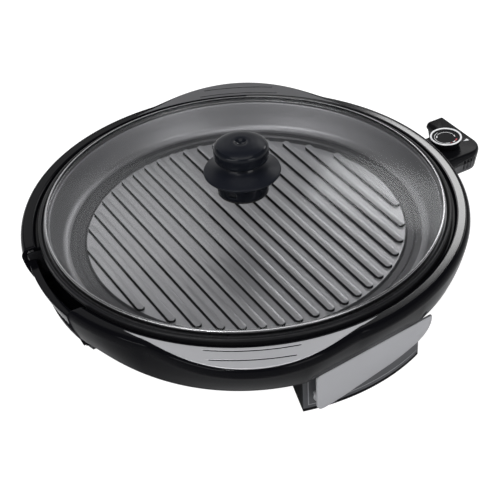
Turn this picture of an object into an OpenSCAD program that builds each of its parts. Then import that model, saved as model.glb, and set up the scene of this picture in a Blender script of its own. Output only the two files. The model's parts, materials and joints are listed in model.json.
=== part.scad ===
// Round electric table grill with a loose glass lid: a plastic base on two legs, a lift-out
// ribbed pan, a slide-out fat tray, two swing-down tilt feet and a plug-in thermostat.
// The origin is on the table under the middle of the pan, +Z is up, and the two handles
// point along +Y and -Y. Millimetres throughout.

/* [Lid and knob] */
// Radius of the lid over its steel edge band
lid_r = 200; // [199:0.5:200.5]
// Height of the lid's edge above the table
lid_edge_z = 100; // [99.5:0.5:102]
// Rise of the glass dome from its edge to its middle
lid_rise = 14; // [10:1:20]
// Thickness of the glass
glass_t = 4; // [3:0.5:4]
// Radius of the knob's grip
knob_cap_r = 27.4; // [25:0.2:29]
// Radius of the knob's heat guard
knob_guard_r = 38.6; // [36:0.2:41]

/* [Pan] */
// Radius of the flat floor of the pan
pan_floor_r = 180; // [178:0.5:181]
// Height of the pan's floor above the table
pan_floor_z = 66.5; // [66:0.25:68]
// Thickness of the cast floor
pan_floor_t = 4.5; // [4:0.25:4.5]
// Distance from one cooking rib to the next
rib_pitch = 16.45; // [14:0.5:20]
// Width of a cooking rib
rib_w = 7.6; // [5:0.2:9]
// Height of a cooking rib
rib_h = 3; // [2:0.25:4]
// Radius of the circle that the ribs' ends lie on
rib_field_r = 159; // [150:1:160]

/* [Base] */
// Radius of the round part of the body at its widest
body_r = 224.5; // [223:0.5:227]
// How far each handle stands out past the round body
handle_reach = 20.3; // [14:0.5:24]
// Angle from a handle's middle to where its swell ends
handle_half_a = 26; // [24:1:30]
// Radius of the skirt's lower edge
skirt_r = 216.5; // [215:0.5:218]
// Height of the skirt's lower edge above the table
skirt_z = 57; // [57:0.5:58]
// Height of the lip round the pan
lip_z = 94; // [93.5:0.25:94.5]
// Inner radius of the lip
lip_r = 210; // [209.5:0.25:211]
// Wall thickness of the plastic shells
wall = 3; // [2.6:0.1:3]

/* [Legs and tilt feet] */
// Direction of the front leg's middle in plan
leg_a = -58.9; // [-60.4:0.1:-58.9]
// Half of the angle that a leg spans
leg_half_a = 18.9; // [18.9:0.1:19.6]
// Radius of a leg's outer face
leg_r = 207.5; // [206:0.5:208]
// Direction that the flat tilt foot faces
cheek_a = -56; // [-57:0.5:-56]
// Distance from the middle to the tilt foot's outer face
cheek_d = 211.2; // [211:0.1:211.6]
// Length of a tilt foot
foot_len = 137.5; // [120:0.5:138.5]

/* [Thermostat] */
// Direction of the thermostat in plan
plug_a = 29; // [27:0.5:31]
// Length of the thermostat's housing across its direction
case_len = 77.8; // [74:0.1:80]
// Depth of the thermostat's housing along its direction
case_depth = 56.3; // [55:0.1:57]
// Radius of the temperature dial over its white ring
dial_r = 17.4; // [16:0.2:18.6]
// Length of the probe past the contact block
probe_len = 70; // [55:1:75]

/* [Drip tray] */
// Direction of the drip tray in plan
tray_a = -152; // [-153:0.5:-151]
// Half of the tray's width
tray_half_w = 53; // [48:0.5:53]
// Height of the tray's visible edge above the table
tray_top_z = 80; // [77:0.5:82]

/* [Hidden] */
$fn = 96;

through = 400;

gloss_black = [0.03, 0.03, 0.035];
satin_silver = [0.70, 0.70, 0.72];
leg_grey = [0.30, 0.30, 0.33];
coated_grey = [0.42, 0.42, 0.44];
steel = [0.78, 0.78, 0.80];
rubber_black = [0.08, 0.08, 0.08];
brass_tone = [0.80, 0.65, 0.30];
case_grey = [0.20, 0.20, 0.22];
clear_tint = [0.75, 0.85, 0.90, 0.35];

// Plan outline of the body. The swell of a handle falls off smoothly with the angle from it.
lower_reach = 13.5;
lower_half_a = 42;
cheek_gap = 0.8;
steps = 72;

function bell(t) = abs(t) < 1 ? pow(1 - t * t, 1.5) : 0;
function off_handle(a) = acos(min(1, abs(sin(a))));
function lip_outline(a) = body_r + handle_reach * bell(off_handle(a) / handle_half_a);
function round_skirt(a) = skirt_r + lower_reach * bell(off_handle(a) / lower_half_a);
function cheek_line(a) = (cheek_d + cheek_gap) / max(0.5, abs(cos(a - cheek_a)));
function skirt_outline(a) = min(round_skirt(a), cheek_line(a));
function between(a, mix) = lip_outline(a) * (1 - mix) + skirt_outline(a) * mix;

// The shell's cross-section, as [height, radius or 0, mix, offset]. A radius is a circle about
// the middle. Where it is 0, the point lies offset from the outline, whose mix runs from the
// lip (0) to the skirt (1). The list goes once round the wall: ledge, lip, skirt and back.
ledge_z = 90;
ledge_r = 200.5;
ledge_t = 3;
outline_z = 86;
waist_z = 73;
function skirt_mix(z) = (outline_z - z) / (outline_z - skirt_z);
SHELL = [
    [ledge_z, ledge_r, 0, 0],
    [ledge_z, lip_r, 0, 0],
    [lip_z, lip_r + 2, 0, 0],
    [lip_z - 0.3, 0, 0, -3.6],
    [lip_z - 1.7, 0, 0, -1.6],
    [lip_z - 4.4, 0, 0, -0.5],
    [outline_z, 0, 0, 0],
    [waist_z, 0, skirt_mix(waist_z), 1.1],
    [skirt_z, 0, 1, 0],
    [skirt_z, 0, 1, -wall],
    [waist_z, 0, skirt_mix(waist_z), 0.9 - wall],
    [outline_z, 0, 0, -wall],
    [lip_z - 3.6, 0, 0, -wall - 3],
    [lip_z - 3.6, lip_r + 3.5, 0, 0],
    [ledge_z - ledge_t, lip_r + 2, 0, 0],
    [ledge_z - ledge_t, ledge_r, 0, 0]
];
function shell_r(s, a) = s[1] > 0 ? s[1] : between(a, s[2]) + s[3];

// The underside cover: a bowl under the pan, and a flat ring outside it.
bowl_r = 148;
bowl_z = 36;
ring_r = 157;
ring_z = 58;
cover_r = 207.5;
cover_t = 2.5;
boss_r = 204.8;
boss_angles = [-105, -15, 0, 75, 165, 180];

// The row of parts that the thermostat plugs into, on the direction plug_a.
pin_z = 57.6;
pin_half = 14;
pin_r = 2.5;
tube_r = 3.7;
element_r = 112;
elbow_r = 14;
block_u = [178, 196];
neck_u = [197, 230];
well_half = 30;
well_z = 44;

// The drip tray's channel, on the direction tray_a.
tray_u = 150;
tray_gap = 1.4;
tray_z = 43.6;
tray_wall = 2.4;
tray_low_z = 59.8;
tray_step_r = 203.5;

// The leaf-shaped tilt foot, drawn in its own plane: x along its length, y its height.
foot_t = 3;
foot_left = -74;
foot_top = 55.6;
foot_pivot = [-65, 22];
foot_pin_r = 3;

// The thermostat's housing, in u (outwards) and v (across). A neck joins it to the base, and an
// arm at its outer side carries the inlet for the supply.
case_u = 229;
case_front_v = -29.6;
case_back_v = 23.2;
arm_w = 21.8;
case_z = [48, 60, 72];
case_wall = 2.4;
neck_half = 19.5;
neck_z = [51, 66];
neck_gap = 0.2;
dial_u = 253;
shaft_r = 3;
gland_u = case_u + case_depth - arm_w / 2;

module along(a) {
    rotate([0, 0, a]) children();
}

// The two ends of the base, in the frame of a tilt foot: x out of its face, y towards its tip.
module front_end() {
    rotate([0, 0, cheek_a]) children();
}

module rear_end() {
    rotate([0, 0, cheek_a + 180]) mirror([0, 1, 0]) children();
}

module both_ends() {
    front_end() children();
    rear_end() children();
}

// ---- Base ----

module shell_skin() {
    n = len(SHELL);
    corners = [
        for (s = SHELL) for (i = [0 : steps - 1])
            let (a = 360 * i / steps, r = shell_r(s, a)) [r * cos(a), r * sin(a), s[0]]
    ];
    faces = [
        for (k = [0 : n - 1]) for (i = [0 : steps - 1])
            let (j = (i + 1) % steps, m = (k + 1) % n)
            each [
                [k * steps + i, m * steps + i, k * steps + j],
                [m * steps + i, m * steps + j, k * steps + j]
            ]
    ];
    polyhedron(points = corners, faces = faces);
}

// Inner and outer edge of a silver handle panel: a crescent whose ends run out as narrow tails.
panel_in_r = 213.2;
panel_swell = 24.8;
panel_bell_a = 27.5;
panel_half_a = 33;
panel_tail = 3;
panel_z = [92.8, 94.3];

module panel_outline(grow) {
    function tail(t) = panel_tail * min(1, (panel_half_a - abs(t)) / 5);
    function outer(t) = panel_in_r + panel_swell * bell(t / panel_bell_a) + tail(t);
    count = 16;
    ts = [for (i = [-count : count]) panel_half_a * i / count];
    inner_edge = [for (t = ts) (panel_in_r - grow) * [sin(t), cos(t)]];
    outer_edge = [
        for (i = [len(ts) - 1 : -1 : 0]) (outer(ts[i]) + grow + 0.4) * [sin(ts[i]), cos(ts[i])]
    ];
    polygon(concat(inner_edge, outer_edge));
}

module handle_panel() {
    groove_w = 1.3;
    groove_depth = 0.6;
    difference() {
        translate([0, 0, panel_z[0]]) linear_extrude(panel_z[1] - panel_z[0]) panel_outline(0);
        for (g = [[218, 11.6], [230, 9.8]])
            translate([0, 0, panel_z[1] - groove_depth])
                rotate([0, 0, 90 - g[1]]) rotate_extrude(angle = 2 * g[1])
                    translate([g[0] - groove_w / 2, 0]) square([groove_w, 5]);
    }
}

module front_handle_panel() {
    color(satin_silver) rotate([0, 0, 180]) handle_panel();
}

module rear_handle_panel() {
    color(satin_silver) handle_panel();
}

module base_shell() {
    pocket_gap = 0.15;
    window_top = 69.5;
    color(gloss_black) difference() {
        shell_skin();
        for (turn = [0, 180])
            rotate([0, 0, turn]) translate([0, 0, panel_z[0]])
                linear_extrude(10) panel_outline(pocket_gap);
        along(tray_a) translate([190, -tray_half_w - 1, 0])
            cube([60, 2 * tray_half_w + 2, through]);
        along(plug_a) translate([205, -24, 30]) cube([40, 48, window_top - 30]);
    }
}

// Threaded posts between the ledge that carries the pan and the cover.
module mounting_posts() {
    post_z = ring_z + cover_t + 0.1;
    color(steel) for (a = boss_angles)
        along(a) translate([boss_r, 0, post_z]) difference() {
            cylinder(r = 4.2, h = ledge_z - ledge_t - 0.1 - post_z, $fn = 48);
            translate([0, 0, -1]) cylinder(r = 1.6, h = 22, $fn = 24);
        }
}

// A well with a floor, open outwards and upwards, for what slides in from the side.
module well(u_in, u_out, half_w, floor_z, top_z) {
    translate([u_in, -half_w, floor_z]) cube([u_out - u_in, 2 * half_w, top_z - floor_z]);
}

module bottom_cover() {
    tray_well_half = tray_half_w + tray_gap;
    color(case_grey) difference() {
        union() {
            rotate_extrude() polygon([
                [0, bowl_z], [bowl_r, bowl_z], [ring_r, ring_z], [cover_r, ring_z],
                [cover_r, ring_z + cover_t], [ring_r - 1.2, ring_z + cover_t],
                [bowl_r - 1.2, bowl_z + cover_t], [0, bowl_z + cover_t]
            ]);
            intersection() {
                union() {
                    along(tray_a) well(144, 230, tray_well_half + cover_t, tray_z - 3, ring_z + cover_t);
                    along(plug_a) well(144, 230, well_half, well_z, ring_z + cover_t);
                }
                cylinder(r = cover_r, h = through);
            }
        }
        along(tray_a) well(144 + cover_t, 230, tray_well_half, tray_z - 0.6, 100);
        along(plug_a) well(140, 230, well_half - cover_t, well_z + cover_t, 100);
        for (ring = [60, 90, 120]) for (a = [0 : 30 : 330])
            along(a) translate([ring, 0, 0]) cylinder(r = 4, h = 40, $fn = 32);
        for (a = boss_angles)
            along(a) translate([boss_r, 0, 0]) cylinder(r = 1.9, h = 70, $fn = 24);
        leg_screw_places() cylinder(r = 1.9, h = 70, $fn = 24);
    }
}

module cover_screws() {
    color(steel) for (a = boss_angles)
        along(a) translate([boss_r, 0, 0]) {
            translate([0, 0, ring_z - 2]) cylinder(r = 3.4, h = 1.9, $fn = 32);
            translate([0, 0, ring_z - 1]) cylinder(r = 1.5, h = 21, $fn = 24);
        }
}

module heat_reflector() {
    t = 0.8;
    lower = [[0, 41], [118, 41], [132, 51.4], [142, 51.4]];
    upper = [for (i = [len(lower) - 1 : -1 : 0]) [lower[i][0], lower[i][1] + t]];
    color(steel) difference() {
        rotate_extrude() polygon(concat(lower, upper));
        for (a = [90, 210, 330])
            along(a) translate([70, 0, 30]) cylinder(r = 1.7, h = 20, $fn = 24);
    }
}

module reflector_screws() {
    color(steel) for (a = [90, 210, 330])
        along(a) translate([70, 0, 0]) {
            translate([0, 0, 41.9]) cylinder(r = 3.2, h = 1.8, $fn = 32);
            translate([0, 0, 38.6]) cylinder(r = 1.5, h = 4, $fn = 24);
        }
}

// A tubular element: nearly a full ring, two elbows and two straight cold ends. A short
// collar covers each joint between them.
module heating_element() {
    reach = element_r + elbow_r;
    side = pin_half + elbow_r;
    meet_a = asin(side / reach);
    elbow_u = sqrt(reach * reach - side * side);
    skip_a = 0.5;
    collar_r = tube_r + 0.6;
    color(steel) along(plug_a) translate([0, 0, pin_z]) {
        rotate([0, 0, meet_a + 0.1]) rotate_extrude(angle = 360 - 2 * meet_a - 0.2)
            translate([element_r, 0]) circle(r = tube_r, $fn = 32);
        for (flip = [0, 1]) mirror([0, flip, 0]) {
            translate([elbow_u, side, 0]) rotate([0, 0, 180 + meet_a + skip_a])
                rotate_extrude(angle = 90 - meet_a - 2 * skip_a)
                    translate([elbow_r, 0]) circle(r = tube_r, $fn = 32);
            rotate([0, 0, meet_a]) translate([element_r, 2, 0]) rotate([90, 0, 0])
                cylinder(r = collar_r, h = 4, $fn = 48);
            translate([elbow_u - 2, pin_half, 0]) rotate([0, 90, 0])
                cylinder(r = collar_r, h = 4, $fn = 48);
            translate([elbow_u + 0.2, pin_half, 0]) rotate([0, 90, 0])
                cylinder(r = tube_r, h = block_u[0] - elbow_u - 0.4, $fn = 32);
        }
    }
}

module element_clips() {
    color(steel) for (a = [plug_a + 90, plug_a + 180, plug_a + 270])
        along(a) translate([element_r, 0, 0]) difference() {
            union() {
                translate([0, 0, 41.9]) cylinder(r = 2.6, h = 11, $fn = 32);
                translate([-7, -4, 51.5]) cube([14, 8, 5.5]);
            }
            translate([0, 10, pin_z]) rotate([90, 0, 0]) cylinder(r = tube_r + 0.35, h = 20, $fn = 48);
        }
}

module terminal_pins() {
    color(steel) along(plug_a) for (v = [-pin_half, pin_half])
        translate([block_u[0] + 2, v, pin_z]) rotate([0, 90, 0]) {
            cylinder(r = pin_r, h = 30, $fn = 32);
            translate([0, 0, 30]) cylinder(r1 = pin_r, r2 = pin_r - 1, h = 1.5, $fn = 32);
        }
}

module socket_block() {
    depth = block_u[1] - block_u[0];
    color(rubber_black) along(plug_a) difference() {
        translate([block_u[0], -24, well_z + cover_t]) cube([depth, 48, 61.4 - well_z - cover_t]);
        for (v = [-pin_half, pin_half])
            translate([block_u[0] + 1.9, v, pin_z]) rotate([0, 90, 0])
                cylinder(r = pin_r + 0.02, h = 40, $fn = 32);
        translate([block_u[0] - 1, 0, pin_z]) rotate([0, 90, 0]) cylinder(r = 3.3, h = 40, $fn = 48);
    }
}

// ---- Legs, pads and tilt feet ----

leg_in_r = 160;
leg_z = 1;
leg_turn = leg_a - cheek_a;
leg_screw_r = 172;
pad_spots = [for (da = [-13, 13]) for (r = [leg_in_r + 10, leg_r - 10]) [da, r]];

module leg_screw_places() {
    both_ends() for (da = [-13, 13])
        rotate([0, 0, leg_turn + da]) translate([leg_screw_r, 0, 0]) children();
}

module leg_box() {
    rim = 1.2;
    leg_top = ring_z - 0.1;
    slot = [leg_screw_r + 11, leg_r - 10];
    difference() {
        rotate([0, 0, leg_turn - leg_half_a]) rotate_extrude(angle = 2 * leg_half_a)
            polygon([[leg_in_r, leg_z], [leg_r, leg_z], [leg_r, leg_top], [leg_in_r, leg_top]]);
        rotate([0, 0, leg_turn - leg_half_a + rim]) rotate_extrude(angle = 2 * (leg_half_a - rim))
            polygon([
                [leg_in_r + wall, leg_z + wall], [leg_r - wall, leg_z + wall],
                [leg_r - wall, leg_top - wall], [slot[1], leg_top - wall], [slot[1], leg_top + 1],
                [slot[0], leg_top + 1], [slot[0], leg_top - wall], [leg_in_r + wall, leg_top - wall]
            ]);
        translate([180, foot_pivot[0], foot_pivot[1]]) rotate([0, 90, 0])
            cylinder(r = foot_pin_r + 0.02, h = 40, $fn = 48);
        for (s = pad_spots)
            rotate([0, 0, leg_turn + s[0]]) translate([s[1], 0, leg_z - 1])
                cylinder(r = 3.2, h = 2, $fn = 32);
        for (da = [-13, 13])
            rotate([0, 0, leg_turn + da]) translate([leg_screw_r, 0, leg_top - 10])
                cylinder(r = 1.6, h = 20, $fn = 24);
        rotate([0, 0, leg_turn]) leg_groove();
    }
}

// A fine inset line along one end and the foot of the leg's face.
module leg_groove() {
    inset = 0.8;
    line_w = 1.2;
    line_z = 9;
    rotate([0, 0, -leg_half_a + 2]) rotate_extrude(angle = 2 * leg_half_a - 4)
        translate([leg_r - inset, line_z]) square([5, line_w]);
    rotate([0, 0, -leg_half_a + 2]) rotate_extrude(angle = 0.35)
        translate([leg_r - inset, line_z]) square([5, 60]);
}

module front_leg() {
    color(leg_grey) front_end() leg_box();
}

module rear_leg() {
    color(leg_grey) rear_end() leg_box();
}

module leg_screws() {
    color(steel) leg_screw_places() {
        translate([0, 0, ring_z + cover_t + 0.05]) cylinder(r = 3.4, h = 0.9, $fn = 32);
        translate([0, 0, ring_z - 4]) cylinder(r = 1.5, h = cover_t + 4.5, $fn = 24);
    }
}

module foot_pads() {
    color(rubber_black) both_ends() for (s = pad_spots)
        rotate([0, 0, leg_turn + s[0]]) translate([s[1], 0, 0]) {
            cylinder(r = 6, h = leg_z, $fn = 48);
            cylinder(r = 3.1, h = leg_z + 0.9, $fn = 32);
        }
}

// The leaf: straight left end and top, a foot edge that climbs and turns up into the tip.
module leaf_outline() {
    right = foot_left + foot_len;
    corner = 8.6;
    belly_r = 22;
    straight_x = 20;
    difference() {
        union() {
            translate([foot_left, foot_pivot[1]]) square([foot_len, foot_top - foot_pivot[1] - 4]);
            translate([0, foot_pivot[1]]) square([right, foot_top - foot_pivot[1] - 2]);
            translate([foot_left + 4, foot_top - 8]) square([foot_len - 6, 8]);
            translate([foot_left + 4, foot_top - 4]) circle(r = 4, $fn = 48);
            translate([right - 2, foot_top - 2]) circle(r = 2, $fn = 32);
            translate([foot_left + corner, foot_pivot[1]]) circle(r = corner, $fn = 64);
            polygon([
                [foot_left + corner - 1, foot_pivot[1] - corner + 0.05],
                [foot_left + corner + 1, foot_pivot[1] - corner + 0.1],
                [-48, 14.6], [-29, 17], [-4, 20.2], [straight_x, 23.4], [straight_x, 40],
                [foot_left + corner, 40]
            ]);
        }
        difference() {
            translate([straight_x, 0]) square([100, foot_top - 3]);
            translate([right - belly_r, foot_top - 2]) circle(r = belly_r, $fn = 96);
            polygon([
                [straight_x - 1, 23.1], [right - 17, foot_top - 24], [right - 17, foot_top],
                [straight_x - 1, foot_top]
            ]);
        }
    }
}

module tilt_foot() {
    boss = 8;
    inner = cheek_d - foot_t;
    difference() {
        union() {
            translate([inner, 0, 0]) rotate([90, 0, 90]) linear_extrude(foot_t) leaf_outline();
            translate([inner - boss, foot_pivot[0], foot_pivot[1]]) rotate([0, 90, 0])
                cylinder(r = 6, h = boss + 1, $fn = 64);
        }
        translate([inner - boss - 1, foot_pivot[0], foot_pivot[1]]) rotate([0, 90, 0])
            cylinder(r = foot_pin_r + 0.06, h = boss + foot_t - 0.4, $fn = 64);
    }
}

module front_tilt_foot() {
    color(satin_silver) front_end() tilt_foot();
}

module rear_tilt_foot() {
    color(satin_silver) rear_end() tilt_foot();
}

module tilt_pins() {
    start = 189.2;
    tip = cheek_d - 1.8;
    color(steel) both_ends() translate([start, foot_pivot[0], foot_pivot[1]]) rotate([0, 90, 0]) {
        cylinder(r = 5, h = 2, $fn = 48);
        cylinder(r = foot_pin_r, h = tip - start, $fn = 64);
    }
}

// ---- Drip tray ----

// The tray's outside, drawn in by inset for its cavity, whose top lies open.
module tray_blank(inset, low_top, high_top, step_r) {
    intersection() {
        translate([tray_u + inset, -tray_half_w + inset, tray_z + inset])
            cube([100, 2 * (tray_half_w - inset), 60]);
        rotate_extrude() polygon([
            [0, 40], [206 - inset, 40], [220 - inset, high_top],
            [step_r, high_top], [step_r, low_top], [0, low_top]
        ]);
    }
}

module drip_tray() {
    color(gloss_black) along(tray_a) difference() {
        tray_blank(0, tray_low_z, tray_top_z, tray_step_r);
        tray_blank(tray_wall, tray_low_z + 1, tray_top_z + 1, tray_step_r - 4);
    }
}

// ---- Pan ----

module pan_body() {
    under_z = pan_floor_z - pan_floor_t;
    groove_r = rib_field_r + 3;
    seat_z = lid_edge_z - 5.2;
    rotate_extrude() polygon([
        [0, under_z], [pan_floor_r, under_z], [pan_floor_r + 4.5, under_z + 1.6],
        [pan_floor_r + 9.5, 74], [196, 86], [198.5, ledge_z + 0.2], [206.5, ledge_z + 0.2],
        [206.8, 94.5], [205.8, 96.3], [204.4, 96.8], [203, 96.4], [201.6, seat_z], [194.6, seat_z],
        [193.6, 91], [190.6, 82], [186.8, 73], [pan_floor_r + 3.8, 68.6], [pan_floor_r, pan_floor_z + 0.3],
        [groove_r + 9, pan_floor_z + 0.3], [groove_r + 7.5, pan_floor_z - 1.6],
        [groove_r + 2, pan_floor_z - 1.6], [groove_r, pan_floor_z], [0, pan_floor_z]
    ]);
}

// One cooking rib: a bar with a narrower top and round ends on the rib circle.
module rib(u) {
    half = sqrt(rib_field_r * rib_field_r - u * u) - rib_w / 2;
    for (level = [[0, rib_w], [rib_h * 0.6, rib_w - 1.2]])
        translate([u, 0, pan_floor_z - 0.5]) linear_extrude(level[0] == 0 ? 0.5 + rib_h * 0.6 : 0.5 + rib_h) {
            translate([-level[1] / 2, -half]) square([level[1], 2 * half]);
            for (end = [-half, half]) translate([0, end]) circle(r = level[1] / 2, $fn = 24);
        }
}

module grill_pan() {
    count = floor((rib_field_r - 10) / rib_pitch);
    drain_r = rib_field_r + 7;
    sensor_pad = 1;
    color(coated_grey) difference() {
        union() {
            pan_body();
            along(plug_a) for (k = [-count : count]) rib(k * rib_pitch);
            along(plug_a) translate([122, -7, pan_floor_z - pan_floor_t - sensor_pad]) cube([44, 14, 3]);
        }
        for (da = [-3, 0, 3])
            along(tray_a + da) translate([drain_r, 0, 0]) cylinder(r = 3, h = 80, $fn = 32);
    }
}

// ---- Lid ----

dome_r = lid_r - 2;
dome_curve = dome_r * dome_r / (2 * lid_rise);
function dome_z(r) = lid_edge_z + lid_rise - r * r / (2 * dome_curve);
glass_hole_r = 4.5;

module lid_glass() {
    count = 14;
    rs = [for (i = [0 : count]) glass_hole_r + (dome_r - glass_hole_r) * i / count];
    top = [for (r = rs) [r, dome_z(r)]];
    under = [for (i = [count : -1 : 0]) [rs[i], dome_z(rs[i]) - glass_t]];
    color(clear_tint) rotate_extrude($fn = 128) polygon(concat(under, [for (i = [0 : count]) top[i]]));
}

// A thin U-shaped band round the edge of the glass.
module lid_band() {
    fold_r = lid_r - 3;
    top_z = dome_z(fold_r) + 0.8;
    foot_z = lid_edge_z - glass_t - 0.9;
    color(steel) rotate_extrude() polygon([
        [fold_r, dome_z(fold_r) + 0.15], [dome_r + 0.15, dome_z(dome_r) + 0.15],
        [dome_r + 0.15, foot_z + 0.6], [fold_r, foot_z + 0.6], [fold_r, foot_z],
        [lid_r, foot_z], [lid_r, top_z - 1], [fold_r, top_z]
    ]);
}

crown_z = lid_edge_z + lid_rise;

// The knob is a stack on one screw: gasket, collar, heat guard and grip.
guard_z = crown_z + 19.6;
grip_z = guard_z + 16.6;

module knob_gasket() {
    color(rubber_black) rotate_extrude($fn = 64) translate([5, crown_z + 0.05]) square([20.5, 1.5]);
}

module knob_collar() {
    r = 25.8;
    vent_w = 8;
    z = crown_z + 1.6;
    color(gloss_black) difference() {
        rotate_extrude() polygon([
            [5, z], [r - 0.4, z], [r, z + 2], [r - 0.2, guard_z - 2], [r - 1.6, guard_z - 0.1],
            [5, guard_z - 0.1]
        ]);
        rotate([0, 0, -115]) translate([r - 6, -vent_w / 2, crown_z + 5.6]) cube([10, vent_w, 1.9]);
    }
}

module knob_guard() {
    r = knob_guard_r;
    z = guard_z;
    color(gloss_black) rotate_extrude() polygon([
        [4, z], [26.5, z], [r - 2.2, z + 1.2], [r, z + 3], [r - 0.6, z + 4.6], [r - 5.5, z + 6.4],
        [26, z + 10], [21.5, z + 13.5], [20, z + 16.5], [4, z + 16.5]
    ]);
}

module knob_cap() {
    r = knob_cap_r;
    z = grip_z;
    dimple_r = 8.2;
    color(gloss_black) difference() {
        rotate_extrude() polygon([
            [0, z], [20.4, z], [21.5, z + 1.4], [r - 1.6, z + 2], [r - 0.3, z + 3.2], [r, z + 5],
            [r, z + 12.4], [r - 0.5, z + 14.6], [r - 1.7, z + 16.2], [r - 4.6, z + 17.8], [r - 9, z + 19.2],
            [dimple_r + 5, z + 20], [dimple_r + 0.6, z + 20.4], [dimple_r - 0.8, z + 19.4], [0, z + 19.2]
        ]);
        translate([0, 0, z - 1]) cylinder(r = 2.02, h = 14, $fn = 32);
    }
}

module knob_screw() {
    under = crown_z - glass_t - 1.6;
    color(steel) {
        translate([0, 0, under - 2.6]) cylinder(r = 4.2, h = 2.5, $fn = 48);
        translate([0, 0, under - 0.2]) cylinder(r = 2, h = grip_z - under + 8, $fn = 32);
    }
}

module knob_washer() {
    color(steel) difference() {
        translate([0, 0, crown_z - glass_t - 1.6]) cylinder(r = 14, h = 1.4, $fn = 64);
        translate([0, 0, crown_z - glass_t - 3]) cylinder(r = 2.3, h = 5, $fn = 32);
    }
}

// ---- Thermostat ----

// One rounded corner of a plan: an arc of radius r about c, from angle a to angle b.
function arc(c, r, a, b) = [for (i = [0 : 6]) c + r * [cos(a + (b - a) * i / 6), sin(a + (b - a) * i / 6)]];

// Plan of the housing, drawn in by inset, anticlockwise from its corner by the neck.
module case_plan(inset) {
    u = [case_u, case_u + case_depth - arm_w, case_u + case_depth];
    v = [case_front_v, case_back_v, case_front_v + case_len];
    big = 20;
    mid = 8;
    small = 3;
    bend = 6;
    polygon(concat(
        arc([u[0] + mid, v[0] + mid], mid - inset, 180, 270),
        arc([u[2] - big, v[0] + big], big - inset, 270, 360),
        arc([u[2] - small, v[2] - small], small - inset, 0, 90),
        arc([u[1] + small, v[2] - small], small - inset, 90, 180),
        arc([u[1] - bend, v[1] + bend], bend + inset, 0, -90),
        arc([u[0] + small, v[1] - small], small - inset, 90, 180)
    ));
}

case_bosses = [[277.5, 33], [240, -21.5], [272, -15]];

// Openings that both halves of the housing share: the neck's window, the inlet and four vents.
module case_openings() {
    vent_z = [52.5, 65];
    translate([case_u - 5, -neck_half - neck_gap, neck_z[0] - neck_gap])
        cube([10, 2 * (neck_half + neck_gap), neck_z[1] - neck_z[0] + 2 * neck_gap]);
    translate([gland_u, case_front_v + case_len + 1, case_z[1]]) rotate([90, 0, 0])
        cylinder(r = 4.6, h = 8, $fn = 48);
    for (k = [0 : 3])
        translate([256.5 + 4.5 * k, case_front_v - 3, vent_z[0]]) cube([1.8, 8.2, vent_z[1] - vent_z[0]]);
}

module thermostat_top() {
    bevel = 2;
    roof_t = 2.4;
    color(gloss_black) along(plug_a) difference() {
        union() {
            translate([0, 0, case_z[1]]) linear_extrude(case_z[2] - case_z[1] - bevel) case_plan(0);
            translate([0, 0, case_z[1]]) linear_extrude(case_z[2] - case_z[1]) case_plan(bevel);
        }
        difference() {
            translate([0, 0, case_z[1] - 1]) linear_extrude(case_z[2] - case_z[1] - roof_t + 1)
                case_plan(case_wall);
            for (b = case_bosses) translate([b[0], b[1], case_z[1] - 2]) cylinder(r = 3.6, h = 30, $fn = 32);
        }
        for (b = case_bosses) translate([b[0], b[1], case_z[1] - 2]) cylinder(r = 1.5, h = 8.8, $fn = 24);
        translate([dial_u, 0, case_z[1]]) cylinder(r = shaft_r + 0.4, h = 30, $fn = 48);
        case_openings();
    }
}

module thermostat_bottom() {
    color(case_grey) along(plug_a) difference() {
        translate([0, 0, case_z[0]]) linear_extrude(case_z[1] - case_z[0] - 0.1) case_plan(0);
        difference() {
            translate([0, 0, case_z[0] + case_wall]) linear_extrude(30) case_plan(case_wall);
            for (b = case_bosses) translate([b[0], b[1], 40]) cylinder(r = 3.6, h = 30, $fn = 32);
        }
        for (b = case_bosses) translate([b[0], b[1], case_z[0]]) {
            translate([0, 0, -1]) cylinder(r = 1.7, h = 30, $fn = 24);
            translate([0, 0, -1]) cylinder(r = 3.3, h = 3.5, $fn = 32);
        }
        case_openings();
    }
}

// The inlet bush that the supply lead would pass through, flanged on both sides of the wall.
module cord_gland() {
    end_v = case_front_v + case_len;
    color(rubber_black) along(plug_a) translate([gland_u, end_v, case_z[1]]) rotate([90, 0, 0]) difference() {
        union() {
            translate([0, 0, -7]) cylinder(r1 = 5, r2 = 6.2, h = 6.9, $fn = 48);
            translate([0, 0, -1]) cylinder(r = 4.5, h = 5, $fn = 48);
            translate([0, 0, case_wall + 0.1]) cylinder(r = 6, h = 1.6, $fn = 48);
        }
        translate([0, 0, -10]) cylinder(r = 3.2, h = 20, $fn = 32);
    }
}

module case_screws() {
    color(steel) along(plug_a) for (b = case_bosses) translate([b[0], b[1], case_z[0]]) {
        translate([0, 0, 0.4]) cylinder(r = 3.1, h = 2, $fn = 32);
        translate([0, 0, 2]) cylinder(r = 1.45, h = 16, $fn = 24);
    }
}

module contact_block() {
    tongue_half = 15.5;
    tongue_len = 6;
    color(rubber_black) along(plug_a) difference() {
        union() {
            translate([neck_u[0], -neck_half, neck_z[0]])
                cube([neck_u[1] - neck_u[0], 2 * neck_half, neck_z[1] - neck_z[0]]);
            translate([neck_u[1] - 0.1, -tongue_half, neck_z[0] + 1])
                cube([tongue_len, 2 * tongue_half, neck_z[1] - neck_z[0] - 2]);
        }
        for (v = [-pin_half, pin_half]) translate([neck_u[0] - 1, v, pin_z]) rotate([0, 90, 0])
            cylinder(r = 3.8, h = 20, $fn = 48);
        translate([neck_u[0] - 1, 0, pin_z]) rotate([0, 90, 0]) cylinder(r = 2.85, h = 25, $fn = 48);
    }
}

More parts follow.
